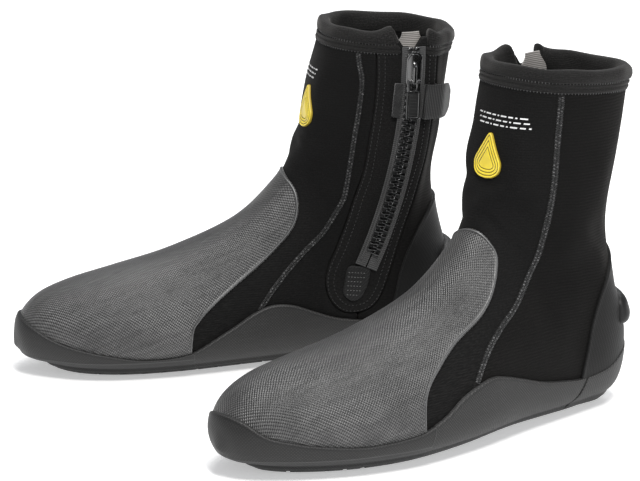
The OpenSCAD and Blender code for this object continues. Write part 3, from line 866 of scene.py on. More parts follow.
def rubber(name, value, warm=0.02, rough=0.5, hatch=0.0, lip=True, specular=0.35, speck=0.3, ridge_band_and_highlight=False):
    """Moulded rubber: faint cross hatch, a painted highlight line and a dark line along its cut edge, glue
    specks.
    """
    p = Paint(name)
    cloud = p.noise(p.place, 18, 5, 0.6)
    fine = p.noise(p.uv, 1.8, 3, 0.7)
    smear = p.noise(p.stretched(0.05, 0.4), 1.0, 3)
    base = p.tones(p.span(cloud, 0.3, 0.75), value, 0.78, 1.25, warm)
    base = p.mix(p.times(p.span(smear, 0.5, 0.75), 0.35), base, grey(value * 1.7, warm))
    if lip:
        # Painted highlight: a light line on the rounded cut edge, then a darker band further in
        line = p.times(p.line(p.edge, 0.15, 0.5, 0.7, 1.1), p.span(fine, 0.35, 0.6, 0.15, 0.8))
        base = p.mix(line, base, grey(value * 3.0, warm))
        base = p.mix(p.times(p.span(p.edge, 2.6, 1.5), p.span(p.edge, 1.0, 1.5)), base, grey(value * 0.45))
    dust = p.span(p.noise(p.uv, 0.9, 2, 0.85), 0.7, 0.76)
    base = p.mix(p.times(dust, speck), base, grey(value * 4, warm))
    cross = p.times(p.ribs(p.math("ADD", p.s, p.t), 2.0), p.ribs(p.math("SUBTRACT", p.s, p.t), 2.0))
    base = p.mix(p.times(p.span(cross, 0.55, 0.05), min(0.85, hatch)), base, grey(value * 0.25, warm))
    if ridge_band_and_highlight:
        # Darker below the toe's ridge, and a painted highlight line along the ridge at 12.5 mm
        base = p.mix(p.span(p.t, 14.5, 11.5, 0, 0.75), base, grey(value * 0.35))
        line = p.times(p.line(p.t, 11.9, 12.4, 12.8, 13.3), p.span(fine, 0.3, 0.6, 0.1, 0.7))
        base = p.mix(line, base, grey(value * 3.5))
    roughness = p.scaled(cloud, 0.22, rough - 0.1)
    p.bumps((cloud, 1.4, 0.18), (fine, 0.12, 0.35), (cross, 0.16, hatch))
    return p.finish(base, roughness, 0.05, specular=specular)


def knurl(name, value, pitch=1.45):
    """Rubberised mesh: a diamond weave with sheen, with a painted highlight that makes the high places
    lighter in patches.
    """
    p = Paint(name)
    bend = p.noise(p.stretched(0.06, 0.06), 1.0, 1)
    s = p.scaled(bend, 1.5, p.s)
    one = p.ribs(p.math("ADD", s, p.t), pitch * 1.41)
    two = p.ribs(p.math("SUBTRACT", s, p.t), pitch * 1.41)
    high = p.math("MAXIMUM", one, two)
    low = p.times(one, two)
    cell = p.scaled(low, 0.6, p.times(high, 0.4))
    cloud = p.noise(p.place, 22, 5, 0.65)
    streak = p.noise(p.stretched(0.35, 0.05), 1.0, 4, 0.7)
    # Patches where the painted highlight lies on the diamond tops
    scuff_and_highlight = p.span(p.noise(p.stretched(0.12, 0.5), 1.0, 4, 0.7), 0.5, 0.72)
    wear = p.scaled(streak, 0.5, p.times(cloud, 0.5))
    base = p.tones(p.span(wear, 0.36, 0.62), value, 0.55, 1.5, 0.015)
    colour = p.mix(p.span(cell, 0.22, 0.55), grey(value * 0.04, 0.01), base)
    # Painted highlight: the tops of the diamonds made lighter within these patches
    colour = p.mix(p.times(p.times(scuff_and_highlight, low), 0.5), colour, grey(value * 2.2))
    colour = p.mix(p.line(p.edge, 0.2, 0.6, 1.4, 2.0), colour, grey(value * 0.32))
    # Painted highlight: a light line on the raised edge ridge
    colour = p.mix(p.times(p.line(p.edge, 0.5, 0.8, 0.9, 1.2), 0.55), colour, grey(value * 2.6))
    calm = p.span(p.edge, 1.5, 3.0)
    p.bumps((cloud, 1.6, 0.25), (p.times(cell, calm), 0.42, 0.9))
    return p.finish(colour, p.scaled(cell, -0.14, 0.46), 0.08, 0.3, specular=0.6)


def webbing(name, value, pitch=1.3, warm=0.0, across=0.7, rough=0.7, sheen=0.3):
    """Ribbed woven tape."""
    p = Paint(name)
    one, two = p.ribs(p.s, pitch), p.ribs(p.t, across)
    weave = p.times(p.scaled(two, 0.5, 0.5), one)
    cloud = p.noise(p.place, 30, 4)
    base = p.tones(p.span(cloud, 0.3, 0.7), value, 0.75, 1.3, warm)
    colour = p.mix(p.span(weave, 0.0, 0.9), grey(value * 0.35, warm), base)
    p.bumps((cloud, 0.6, 0.15), (weave, 0.3, 0.6))
    return p.finish(colour, rough, sheen, specular=0.3)


def brushed(name, value, warm=0.0):
    """Loop fabric: short curled pile."""
    p = Paint(name)
    fur = p.noise(p.uv, 2.2, 5, 0.75)
    curl = p.noise(p.stretched(0.9, 2.5), 1.0, 4, 0.7)
    colour = p.tones(p.span(p.times(fur, curl), 0.12, 0.42), value, 0.4, 1.6, warm)
    p.bumps((curl, 0.5, 0.5), (fur, 0.4, 0.9))
    return p.finish(colour, 0.85, 0.5, specular=0.15)


def plastic(name, value, rough=0.32, coat=0.3, specular=0.5, metallic=0.0):
    """Moulded plastic with fine grain, mould flow and light scuffs."""
    p = Paint(name)
    grain = p.noise(p.place, 900, 3, 0.6)
    flow = p.noise(p.place, 60, 4, 0.6)
    base = p.tones(p.span(flow, 0.3, 0.7), value, 0.8, 1.2)
    scuff_and_highlight = p.span(p.noise(p.place, 240, 2, 0.8), 0.62, 0.72)
    base = p.mix(p.times(scuff_and_highlight, 0.18), base, grey(min(1, value * 2.5 + 0.02)))
    p.bumps((flow, 0.4, 0.12), (grain, 0.05, 0.35))
    return p.finish(base, p.scaled(flow, 0.2, rough - 0.08), coat=coat, specular=specular, metallic=metallic)


def badge_paint():
    """Yellow moulded badge with dark grooves."""
    p = Paint("badge_rubber")
    flow = p.noise(p.place, 90, 3)
    base = p.mix(p.span(flow, 0.3, 0.7), (0.70, 0.53, 0.03), (0.86, 0.68, 0.045))
    for k in BADGE_LINES:
        near = p.math("ABSOLUTE", p.math("SUBTRACT", p.edge, k))
        base = p.mix(p.span(near, 0.34, 0.16), base, (0.10, 0.07, 0.008))
    base = p.mix(p.span(p.edge, 0.45, 0.15), base, (0.35, 0.25, 0.015))
    p.bumps((flow, 0.3, 0.15), (p.noise(p.place, 1100, 2), 0.04, 0.4))
    return p.finish(base, 0.42, coat=0.1)


def thread_paint(name, value, warm=0.0, fleck=False):
    """Twisted sewing thread."""
    p = Paint(name)
    twist = p.ribs(p.math("ADD", p.times(p.s, 3.0), p.t), 1.2)
    fuzz = p.noise(p.place, 700, 3, 0.7)
    colour = p.tones(p.times(twist, fuzz), value, 0.55, 1.35, warm)
    if fleck:
        worn = p.span(p.noise(p.place, 420, 2, 0.8), 0.46, 0.58)
        colour = p.mix(worn, grey(value * 0.07, warm), colour)
    p.bumps((twist, 0.12, 0.6), (fuzz, 0.05, 0.5))
    return p.finish(colour, 0.6, 0.3, specular=0.3)


PAINT = {
    "front": jersey("neoprene_front", 0.008, 0.35, sheen=0.03),
    "rear": jersey("neoprene_rear", 0.0056, 0.75, warm=0.08, pitch=1.9, sheen=0.03),
    "quarter": jersey("neoprene_quarter", 0.008, 0.35, sheen=0.03),
    "facing": jersey("neoprene_facing", 0.013, 0.2, pitch=1.2, sheen=0.03),
    "lining": jersey("lining_jersey", 0.0045, 0.4, sheen=0.03),
    "collar": jersey("collar_jersey", 0.02, 0.5, pitch=1.1, sheen=0.16),
    "insole": jersey("insole_fabric", 0.02, 0.4),
    "overlay": knurl("vamp_mesh", 0.072),
    "toe": rubber("toe_rubber", 0.017, hatch=0.7, rough=0.55, ridge_band_and_highlight=True),
    "foxing": rubber("foxing_rubber", 0.025, hatch=0.75, rough=0.58),
    "outsole": rubber("outsole_rubber", 0.012, rough=0.6, lip=False),
    "counter": rubber("counter_rubber", 0.005, rough=0.6, hatch=0.5, specular=0.18),
    "stop": rubber("stop_rubber", 0.007, rough=0.5, lip=False, speck=0.1, specular=0.3),
    "tape": webbing("zip_tape", 0.085, 1.3),
    "teeth": plastic("zip_teeth", 0.003, 0.16, 1.0, specular=0.8),
    "patch": webbing("end_patch", 0.012, 1.6, sheen=0.05),
    "gusset": webbing("gusset_fabric", 0.42, 1.2, warm=0.06),
    "slider": plastic("slider_enamel", 0.004, 0.12, 1.0, specular=0.9),
    "pull": plastic("pull_plastic", 0.006, 0.16, 1.0, specular=0.9),
    "pull_inset": plastic("pull_inset", 0.004, 0.5, 0.0),
    "pin": plastic("pin_steel", 0.5, 0.2, 0.0, metallic=1.0),
    "flap": webbing("keeper_webbing", 0.011, 1.5, across=1.0),
    "loop": brushed("loop_fabric", 0.03),
    "badge": badge_paint(),
    "print": plastic("print_ink", 0.62, 0.6, 0.0),
    "thread": thread_paint("thread_grey", 0.16),
    "thread_dark": thread_paint("thread_black", 0.012),
    "thread_dim": thread_paint("thread_dim", 0.05),
    "thread_fleck": thread_paint("thread_fleck", 0.22, fleck=True),
}

# ------------------------------------------------------------------ upper


def facing_distance(p):
    return polygon_distance(p[:, 1:], FACING_POLYGON)


def zip_offset(p):
    """Distance behind the zip's arc, and distance along it from its top."""
    q = p - ZIP_CENTRE
    y, h = q[:, 1], q @ ZIP_UP
    return np.hypot(y, h) - ZIP_RADIUS, -np.arctan2(h, y) * ZIP_RADIUS


REAR_INNER = np.vstack([smooth_line(FACING, 4)[52:], [[60, 250], [60, -40], [-79, -40]]])
NOTCH = [[-60, 232], [-56.5, 219], [-50, 209], [-42, 209], [-36, 219], [-33, 232]]


# Half the gap between panels, their drop below the rim, and how far pieces run in under others
GAP, DROP, TUCK, SHORT_TUCK = 0.15, 2.6, 9, 7
# Times outwards(a): positive on the inner side, where it doesn't bind, and negative on the outer side
INNER_ONLY = -60


def in_front_panel(p, a):
    return least(ahead_of_seam(p, a) - GAP, below_rim(p, DROP), TUCK - under_foxing(p, a),
                 SHORT_TUCK - in_overlay(p, a))


def in_rear_panel(p, a):
    w = outer_share(a)
    inner = polygon_distance(p[:, 1:], REAR_INNER) - GAP
    outer = -ahead_of_seam(p, a) - GAP
    return least(outer * w + inner * (1 - w), below_rim(p, DROP), TUCK - under_foxing(p, a))


def in_quarter(p, a):
    inner = np.minimum(-ahead_of_seam(p, a), -polygon_distance(p[:, 1:], REAR_INNER))
    inner = np.minimum(inner, -facing_distance(p)) - GAP
    return least(inner, below_rim(p, DROP), TUCK - under_foxing(p, a), INNER_ONLY * outwards(a))


def in_facing(p, a):
    off, along = zip_offset(p)
    slit = np.maximum(np.abs(off) - 1.0, along - ZIP_LENGTH)
    cut = -polygon_distance(p[:, 1:], NOTCH)
    return least(facing_distance(p) - GAP, slit, cut, below_rim(p, DROP), INNER_ONLY * outwards(a))


def in_lining(p, a):
    off, along = zip_offset(p)
    beside = np.where(outwards(a) < 0, np.maximum(np.abs(off) - 6.5, along - ZIP_LENGTH + 8), 99)
    return least(below_rim(p, 10.5), p[:, 2] - 12, beside)


def in_mesh(p, a):
    return np.minimum(in_overlay(p, a), SHORT_TUCK - under_foxing(p, a))


def in_counter(p, a):
    return np.minimum(polygon_distance(p[:, 1:], COUNTER_POLYGON), SHORT_TUCK - under_foxing(p, a))


def in_stop(p, _):
    view = [[-25, 55], [-9, 50], [14, 51], [14, 76], [-13, 76], [-25, 69]]
    return polygon_distance(p[:, 1:], rounded_outline(view, 4))


def overlay_height(d):
    ridge = np.exp(-(((d - 1.15) / 0.55) ** 2))
    return rounded(0.05, 1.3, 0.7)(d) + 0.35 * ridge


def counter_height(d):
    ridge = np.exp(-(((d - 1.0) / 0.5) ** 2))
    return rounded(0.05, 1.75, 0.8)(d) + 0.2 * ridge


def stop_height(d):
    t = np.clip(d / 7.5, 0, 1)
    return 1.6 + 5.4 * np.sqrt(1 - (1 - t) ** 2)


def upper():
    soft_edge, levels = rounded(-NEOPRENE, 0, 1.1, 0.72), [0.25, 0.6, 1.1]
    for name, region, u, a, paint, slot in (
        ("front_panel", in_front_panel, (0, 15, 176), (-180, 180, 193), "front", "neoprene"),
        ("rear_panel", in_rear_panel, (0, 15, 176), (0, 360, 193), "rear", "neoprene"),
        ("medial_quarter", in_quarter, (3, 15, 150), (-170, -10, 96), "quarter", "neoprene"),
        ("zip_facing", in_facing, (4, 15, 180), (-150, -30, 120), "facing", "facing_neoprene"),
    ):
        form_patch(region, -NEOPRENE, soft_edge, levels, u, a).build(name, paint, slot)
    form_patch(in_lining, -NEOPRENE - 0.7, flat(-NEOPRENE - 0.05), [], (0.6, 15, 150),
               (-180, 180, 181)).build("lining", "lining", "neoprene")
    form_patch(in_mesh, 0.02, overlay_height, [0.3, 0.7, 1.1, 1.5, 2.0], (0, 9, 180), (-180, 180, 241),
               vamp_uv).build("vamp_overlay", "overlay", "overlay_mesh")
    form_patch(in_counter, 0.02, counter_height, [0.25, 0.6, 1.0, 1.5], (6, 14, 150),
               (60, 300, 161)).build("heel_counter", "counter", "counter_rubber")
    form_patch(in_stop, 1.3, stop_height, [0.15, 0.5, 1.1, 2.0, 3.2, 5.0], (8.5, 12, 90),
               (110, 250, 121)).build("fin_strap_stop", "stop", "counter_rubber")


def visible_part(line, side):
    """The part of a side-view line that shows between the collar and the foxing."""
    line = smooth_line(line, 8)
    keep = polygon_distance(line, under(FOXING_EDGE[side])) < 0.5
    keep &= line[:, 1] < rim_height(line[:, 0]) - 13.5
    return line[keep]


def seams():
    for side, label, half, width, a in ((OUTER, "lateral", 2.1, 3.5, (5, 175, 150)),
                                        (INNER, "medial", 1.8, 3.0, (-175, -5, 150))):
        def band(p, a, side=side, half=half):
            return least(half - np.abs(ahead_of_seam(p, a)), below_rim(p, 12.8), 2 - under_foxing(p, a),
                         side * 60 * outwards(a))

        form_patch(band, -0.4, rounded(-0.1, 0.32, 0.6), [0.25, 0.6], (3, 15, 220),
                   a).build(f"{label}_seam_band", "facing", "neoprene")
        path = Path(visible_part(SIDE_SEAM[side], side), side, 1.0, 0.3, smooth=False)
        light, dark = Shell(), Shell()
        zigzag(light, path, width, 2.1, 0.24)
        zigzag(dark, path, width + 0.4, 2.1, 0.3, phase=1.0)
        light.build(f"{label}_seam_stitches", "thread_fleck")
        dark.build(f"{label}_seam_thread", "thread_dark")


# ------------------------------------------------------------------ collar


def rim_section(a, drop):
    """Section number u at which the form is drop below the rim, at angles a."""
    low, high = np.full(np.shape(a), 12.0), np.full(np.shape(a), 15.0)
    for _ in range(30):
        u = (low + high) / 2
        p = form(u, a)
        over = p[..., 2] > rim_height(p[..., 1]) - drop
        high, low = np.where(over, u, high), np.where(over, low, u)
    return u


def ring_angles(drop, share):
    """Angles round the collar from the notch's front end to its rear end."""
    a = np.linspace(-150, -30, 481)
    y = form(rim_section(a, drop), a)[:, 1]
    order = np.argsort(y)
    front_y = np.interp(drop, [0, 9, 14], [-57.5, -53, -52.4])
    rear_y = np.interp(drop, [0, 9, 14], [-34.5, -35.8, -36])
    front, rear = np.interp(front_y, y[order], a[order]), np.interp(rear_y, y[order], a[order])
    return front + share * (rear + 360 - front)


def collar_ring(section, parts=300):
    """Sweeps a section of (drop, height) round the rim, with rounded ends at the notch."""
    section = np.asarray(section, float)
    tips = np.array([0, 0.0012, 0.003, 0.006])
    share = np.concatenate([tips, np.linspace(0.01, 0.99, parts), 1 - tips[::-1]])
    size = np.ones(len(share))
    size[:3] = [0.45, 0.8, 0.95]
    size[-3:] = size[:3][::-1]
    middle = section.mean(0)
    columns = []
    for drop, height in section:
        a = ring_angles(max(drop, 0), share)
        d = middle[0] + (drop - middle[0]) * size
        h = middle[1] + (height - middle[1]) * size
        u = rim_section(a, d)
        ripple = 0.35 * np.sin(np.radians(a) * 5 + drop * 0.3) + 0.22 * np.sin(np.radians(a) * 13 + 2)
        points = form(u, a) + normal(u, a) * (h + sample(soft, u, a) + ripple * ease(14, 4, drop))[:, None]
        near = np.minimum(share, 1 - share) * 300
        peak = 3.6 * np.exp(-((near / 9.0) ** 2)) * ease(13, 2, drop) + 0.35 * np.sin(np.radians(a) * 7)
        points[:, 2] += peak * ease(13, 2, drop)
        columns.append(points)
    shell = Shell()
    loft(shell, np.stack(columns, 1))
    return shell


class RimPath(Path):
    """A line round the collar at a drop below the rim."""

    def __init__(self, drop, height, step=1.0):
        self.a = ring_angles(drop, np.linspace(0.004, 0.996, int(300 / step)))
        self.u = rim_section(self.a, drop)
        self.points = surface(self.u, self.a, height)
        self.normals = normal(self.u, self.a)
        self.steps(run_length(self.points))


ROLL = [(8.1, -0.4), (8.1, 0.6), (7.5, 1.5), (6.3, 1.95), (4.6, 2.15), (2.8, 2.0), (1.3, 1.5), (0.4, 0.6),
        (0.05, -0.6), (0.0, -1.9), (0.1, -3.2), (0.6, -4.5), (1.6, -5.5), (4, -6.1), (7, -6.2), (10, -6.2),
        (12, -6.0), (12.4, -5.2)]
BAND = [(8.3, -0.6), (8.3, 0.3), (8.8, 1.05), (9.7, 1.35), (10.5, 1.2), (11.0, 0.75), (11.5, 0.75),
        (12.1, 1.15), (12.9, 1.2), (13.6, 0.85), (13.9, 0.3), (13.9, -0.6)]


def collar():
    collar_ring(ROLL).build("collar_roll", "collar", "collar_fabric", replaces="collar_binding")
    collar_ring(BAND).build("collar_band", "collar", "collar_fabric")
    shell = Shell()
    for drop, height, length in ((8.2, 0.75, 1.5), (13.9, 0.4, 1.4)):
        ticks(shell, RimPath(drop, height), length, 2.1, 0.2)
    shell.build("collar_stitches", "thread")


# ------------------------------------------------------------------ badge and print

TEARDROP = rounded_outline([[0, 183], [5.4, 173.2], [11.8, 163.5], [11.2, 158], [6.5, 154.6], [0, 153.8],
                            [-6.5, 154.6], [-11.2, 158], [-11.8, 163.5], [-5.4, 173.2]], 6, 6)


def badge_height(d):
    groove = sum(np.exp(-(((d - k) / 0.28) ** 2)) for k in BADGE_LINES)
    return rounded(0.0, 1.75, 0.7)(d) - 0.45 * np.clip(groove, 0, 1)


def badge():
    for boot, shift in zip(BOOTS, (2.0, -7.5)):
        def region(p, a, outline=TEARDROP + [shift, 0]):
            return np.minimum(polygon_distance(p[:, [0, 2]], outline), -p[:, 1] - 60)

        form_patch(region, -0.2, badge_height, [0.3, 0.7, 1.1], (10.6, 14, 230),
                   (-50, 42, 200)).build("size_badge", "badge", "badge_rubber", boots=[boot])


def shin_marks():
    """Plain printed dashes above the badge."""
    marks = []
    for row, z in enumerate((191.4, 188.6, 185.8)):
        x = -13.0 + 1.2 * row
        for k in range(9):
            half = (1.5, 0.6, 2.1)[(k + row) % 3]
            marks.append((x + half, z, half, 0.42))
            x += 2 * half + 1.5

    def printed(p, a):
        d = [np.minimum(w - np.abs(p[:, 0] - x), h - np.abs(p[:, 2] - z)) for x, z, w, h in marks]
        return np.minimum(np.maximum.reduce(d), -p[:, 1] - 60)

    form_patch(printed, -0.1, flat(0.12), [], (12.2, 13.7, 150), (-38, 70, 480)).build("shin_marks", "print")


# ------------------------------------------------------------------ sole

# Positions round the sole, the heights at which its wall is known, and the lowest height with rubber
LOOP = 480
HEIGHTS = np.linspace(0, 54, 55)
WALL_START = 7.0
# The wall is looked for from this far inside the sole's outline
INSIDE = 32


def sole_loop():
    around = SOLE[[(i % len(SOLE)) for i in range(-1, len(SOLE) + 2)]]
    line = spline(around, 1 + np.linspace(0, len(SOLE), 2000))
    line = resample(line, 0.4)
    s = np.linspace(0, len(line) - 1, LOOP + 1)[:-1]
    points = np.stack([np.interp(s, np.arange(len(line)), line[:, k]) for k in (0, 1)], 1)
    t = np.roll(points, -3, 0) - np.roll(points, 3, 0)
    n = unit(np.stack([-t[:, 1], t[:, 0]], 1))
    if ((points - points.mean(0)) * n).sum() < 0:
        n = -n
    return points, n


def wall_table():
    """Distance of the foxing's outer face from the sole outline, by loop position and height."""
    points, n = sole_loop()
    u, a = np.meshgrid(np.linspace(0, 11, 133), np.linspace(-180, 180, 145), indexing="ij")
    grid = surface(u, a, FOXING)
    tree = BVHTree.FromPolygons([Vector(p) for p in grid.reshape(-1, 3)], grid_faces(*u.shape).tolist())
    reach = np.full((LOOP, len(HEIGHTS)), np.nan)
    for i in range(LOOP):
        start = points[i] - INSIDE * n[i]
        for j, z in enumerate(HEIGHTS):
            hit = tree.ray_cast(Vector((start[0], start[1], z)), Vector((n[i, 0], n[i, 1], 0)), 80)
            if hit[0] is not None and z >= WALL_START:
                reach[i, j] = hit[3] - INSIDE
    for j in range(len(HEIGHTS) - 2, -1, -1):
        gap = np.isnan(reach[:, j])
        reach[gap, j] = reach[gap, j + 1]
    for j in range(1, len(HEIGHTS)):
        gap = np.isnan(reach[:, j])
        reach[gap, j] = reach[gap, j - 1]
    reach = np.nan_to_num(reach)
    for _ in range(3):
        reach = (np.roll(reach, 1, 0) + 2 * reach + np.roll(reach, -1, 0)) / 4
    for _ in range(2):
        reach[:, 1:-1] = (reach[:, :-2] + 2 * reach[:, 1:-1] + reach[:, 2:]) / 4
    start = int(WALL_START)
    fall = np.clip((start - HEIGHTS) / start, 0, 1)
    slope = np.clip(reach[:, start + 1] - reach[:, start], 0.2, 1.2)
    lower = reach[:, [start]] - slope[:, None] * start * fall[None] ** 1.3
    reach = np.where(HEIGHTS[None] < start, lower, reach)
    return points, n, reach


WALL_POINTS, WALL_NORMALS, WALL = wall_table()
WALL_ROUND = np.vstack([WALL, WALL[:1]])
LOOP_STEP = np.linalg.norm(np.diff(np.vstack([WALL_POINTS, WALL_POINTS[:1]]), axis=0), axis=1).mean()


def wall(s, z, height=FOXING):
    """Point of the foxing at loop position s (0 to LOOP) and height z."""
    s, z = np.asarray(s, float) % LOOP, np.asarray(z, float)
    i = s.astype(int)
    q = (s - i)[..., None]
    d = between(WALL_ROUND, s, np.clip(z, 0, HEIGHTS[-1] - 0.001))
    n = WALL_NORMALS[i] * (1 - q) + WALL_NORMALS[(i + 1) % LOOP] * q
    p = WALL_POINTS[i] * (1 - q) + WALL_POINTS[(i + 1) % LOOP] * q
    ridge = 0.5 * np.exp(-(((z - 12.5) / 1.3) ** 2)) * ease(-222, -246, p[..., 1])
    xy = p + n * (d + ridge + height - FOXING)[..., None]
    return np.concatenate([xy, z[..., None]], -1)


def foxing_edge(s, z):
    """Depth below the foxing's wavy top edge."""
    p = wall(s, z)
    i = np.asarray(s, float).astype(int) % LOOP
    w = ease(-0.5, 0.5, WALL_NORMALS[i, 0])
    outer = polygon_distance(p[:, 1:], under(FOXING_EDGE[OUTER]))
    inner = polygon_distance(p[:, 1:], under(FOXING_EDGE[INNER]))
    return outer * w + inner * (1 - w), p, WALL_NORMALS[i, 0]


def foxing_pieces():
    bottom, toe_end, heel_start = 3.4, -187.0, -57.0

    def toe(d, p, z, _):
        return least(d, toe_end - 0.25 * (z - 10) * ease(24, 6, z) - p[:, 1], z - bottom)

    def middle(d, p, z, out):
        return least(d, p[:, 1] - toe_end + 5, heel_start - 0.6 + 0.25 * (z - 12) - p[:, 1], z - bottom,
                     out * 40)

    def heel(d, p, z, _):
        return least(d, p[:, 1] - heel_start - 0.9 - 0.25 * (z - 12), z - bottom)

    for name, inside, side, start, high, paint in (
        ("toe_foxing", toe, OUTER, -LOOP // 2, FOXING + 0.55, "toe"),
        ("lateral_foxing", middle, OUTER, 0, FOXING, "foxing"),
        ("medial_foxing", middle, INNER, 0, FOXING, "foxing"),
        ("heel_foxing", heel, OUTER, 0, FOXING, "foxing"),
    ):
        def region(s, z, inside=inside, side=side):
            d, p, out = foxing_edge(s % LOOP, z)
            return inside(d, p, z, side * out)

        grid = (np.linspace(start, start + LOOP, 2 * LOOP + 1), HEIGHTS)
        patch(grid, region, wall, lambda s, z: np.stack([s * LOOP_STEP, z], -1), -0.3,
              rounded(0.25, high, 0.9), [0.2, 0.5, 0.9]).build(name, paint, "foxing_rubber")


def outsole():
    s = np.arange(LOOP, dtype=float)
    edge = ((6.0, 3.0), (4.6, 0.9), (3.4, 0.4), (2.4, 0.5), (1.4, 0.8), (0.7, 1.3), (0.2, 2.1), (0, 2.8))
    shell = Shell()
    loft(shell, [wall(s, np.full(LOOP, z), np.full(LOOP, FOXING - inset)) for z, inset in edge])
    soles = shell.build("outsole", "outsole", "outsole_rubber")
    cutter = Shell()
    first, pitch, wave, width, depth = -286, 13, 4, 3, 2.4
    for i in range(22):
        y = first + i * pitch
        line = [(k * 10, y + (wave if k % 2 == 0 else -wave)) for k in range(-7, 8)]
        outline = line + [(x, v + width) for x, v in line[::-1]]
        loft(cutter, [[(x, v, z) for x, v in outline] for z in (-2.0, depth)])
    for sole, channels in zip(soles, cutter.build("tread_cutter", "outsole")):
        cut = sole.modifiers.new("tread", "BOOLEAN")
        cut.operation, cut.solver, cut.object = "DIFFERENCE", "EXACT", channels
        apply_modifiers(sole)
        bpy.data.objects.remove(channels)
        sole.data.set_sharp_from_angle(angle=math.radians(35))


def insole():
    inset, bottom, top, bevel = 10.5, 11.2, 15.2, 1.2
    shell = Shell()
    slab(shell, WALL_POINTS[::4] - WALL_NORMALS[::4] * inset, bottom, top, bevel, lambda p: p)
    shell.build("insole", "insole", "insole")


# ------------------------------------------------------------------ zip


def zip_point(p, d, s):
    """Point at a height p over the zip's plane, d behind its arc, s along it from the top."""
    angle = np.asarray(s, float) / ZIP_RADIUS
    y, h = (ZIP_RADIUS + np.asarray(d)) * np.cos(angle), -(ZIP_RADIUS + np.asarray(d)) * np.sin(angle)
    return (ZIP_CENTRE + np.asarray(p)[..., None] * ZIP_OUT + y[..., None] * np.array([0, 1.0, 0])
            + h[..., None] * ZIP_UP)


def at_zip(angle, order="plan", shift=(0, 0, 0)):
    """Takes slab coordinates to the frame of one place on the zip's arc.

    order plan: outline (back, up), height outward; side: outline (up, outward), height back;
    top: outline (outward, back), height up.
    """
    columns = {"plan": (2, 0, 1), "side": (1, 2, 0), "top": (0, 1, 2)}[order]

    def place(q):
        q = np.asarray(q, float)[:, columns] + shift
        y = (ZIP_RADIUS + q[:, 1]) * math.cos(angle) + q[:, 2] * math.sin(angle)
        h = -(ZIP_RADIUS + q[:, 1]) * math.sin(angle) + q[:, 2] * math.cos(angle)
        return ZIP_CENTRE + q[:, :1] * ZIP_OUT + y[:, None] * np.array([0, 1.0, 0]) + h[:, None] * ZIP_UP

    return place


def zip_chain():
    s = np.linspace(-TAPE_TOP, ZIP_LENGTH, 110)
    for side, name in ((-1, "front"), (1, "rear")):
        shell = Shell()
        d, p = np.array([(0.5, 0.5), (7.3, 0.45), (7.6, 0.75), (7.4, 1.2), (6.7, 1.3), (6.2, 1.1), (3.0, 1.1),
                         (0.5, 1.1)]).T
        loft(shell, [zip_point(p, side * d, v) for v in s])
        shell.build(f"zip_tape_{name}", "tape", "zip_tape")
        shell = Shell()
        w = circle(10)
        rail = np.linspace(1, ZIP_LENGTH - 4, 90)
        loft(shell, [zip_point(1.35 + 0.5 * np.sin(w), side * (5.2 + 0.6 * np.cos(w)), v) for v in rail])
        shell.build(f"zip_cord_{name}", "tape", "zip_tape")
        shell = Shell()
        for k in range(int((ZIP_LENGTH - 6) / TOOTH_PITCH)):
            centre = 0.9 + (0 if side < 0 else TOOTH_PITCH / 2) + k * TOOTH_PITCH
            tooth = rounded_outline([(4.5, -1.05), (4.5, 1.05), (1.3, 1.05), (0.8, 0.6), (-1.6, 0.75),
                                     (-1.6, -0.75), (0.8, -0.6), (1.3, -1.05)], 0.3, 2) * [side, 1]

            def place(q, centre=centre):
                return zip_point(q[:, 2], q[:, 0], centre + q[:, 1])

            slab(shell, tooth, 1.0, 2.6, 0.35, place)
        shell.build(f"zip_teeth_{name}", "teeth", "zip_plastic")
        shell = Shell()
        for v in np.arange(14, ZIP_LENGTH - 4, 2.6):
            lift = np.array([1.0, 1.27, 1.32, 1.27, 1.0])
            dash = zip_point(lift, np.full(5, side * 6.8), v + np.linspace(-0.8, 0.8, 5))
            tube(shell, dash, OUT_ROWS, 0.2)
        shell.build(f"zip_tape_stitches_{name}", "thread_dim")
    shell = Shell()
    for side in (-1, 1):
        stop = rounded_outline([(0.6, -TAPE_TOP), (4, -TAPE_TOP), (4, -2.7), (0.6, -2.7)], 0.6, 3) * [side, 1]
        slab(shell, stop, 1.0, 2.4, 0.4, lambda q: zip_point(q[:, 2], q[:, 0], q[:, 1]))
    shell.build("zip_top_stops", "teeth", "zip_plastic")
    shell = Shell()
    s = np.linspace(-12.5, ZIP_LENGTH - 12, 80)
    fold = 0.7 * np.sin(s * 0.16) + 0.4 * np.sin(s * 0.37 + 1)
    d, p = np.array([(-11, 0), (-6, 0.35), (0, 0.5), (6, 0.35), (11, 0), (11, -1.1), (6, -0.8), (0, -0.6),
                     (-6, -0.8), (-11, -1.1)]).T
    loft(shell, [zip_point(-NEOPRENE - 2.9 + p + f * 0.4, d * (0.5 + 0.5 * ease(-12, -1, v)), v)
                 for v, f in zip(s, fold)])
    shell.build("zip_gusset", "gusset", "gusset_fabric")


def end_patch():
    view = rounded_outline([[-85.5, 67], [-70, 65], [-72.5, 52], [-77, 44], [-83, 42.5], [-89, 47.5]], 4)

    def region(p, a):
        beyond = zip_offset(p)[1] - ZIP_LENGTH - 0.5
        return least(polygon_distance(p[:, 1:], view), beyond, INNER_ONLY * outwards(a))

    form_patch(region, 0.0, rounded(0.05, 1.6, 1.2), [0.3, 0.8, 1.2], (5, 13, 260),
               (-150, -40, 180)).build("zip_end_patch", "patch", "patch_fabric")
    shell = Shell()
    for row in range(6):
        z = 62.5 - 3.0 * row
        line = np.array([[-85.3 - 0.25 * row + t, z - 0.1 * t] for t in np.linspace(0, 12.6 - 0.8 * row, 8)])
        running(shell, Path(line, INNER, 0.8, 1.5), 1.2, 0.8, 0.24)
    shell.build("end_patch_stitches", "thread")


def shifted(line, distance):
    """A side-view line moved sideways by a distance."""
    line = resample(smooth_line(line, 8), 1.0)
    t = unit(np.gradient(line, axis=0))
    return line + np.stack([-t[:, 1], t[:, 0]], 1) * distance


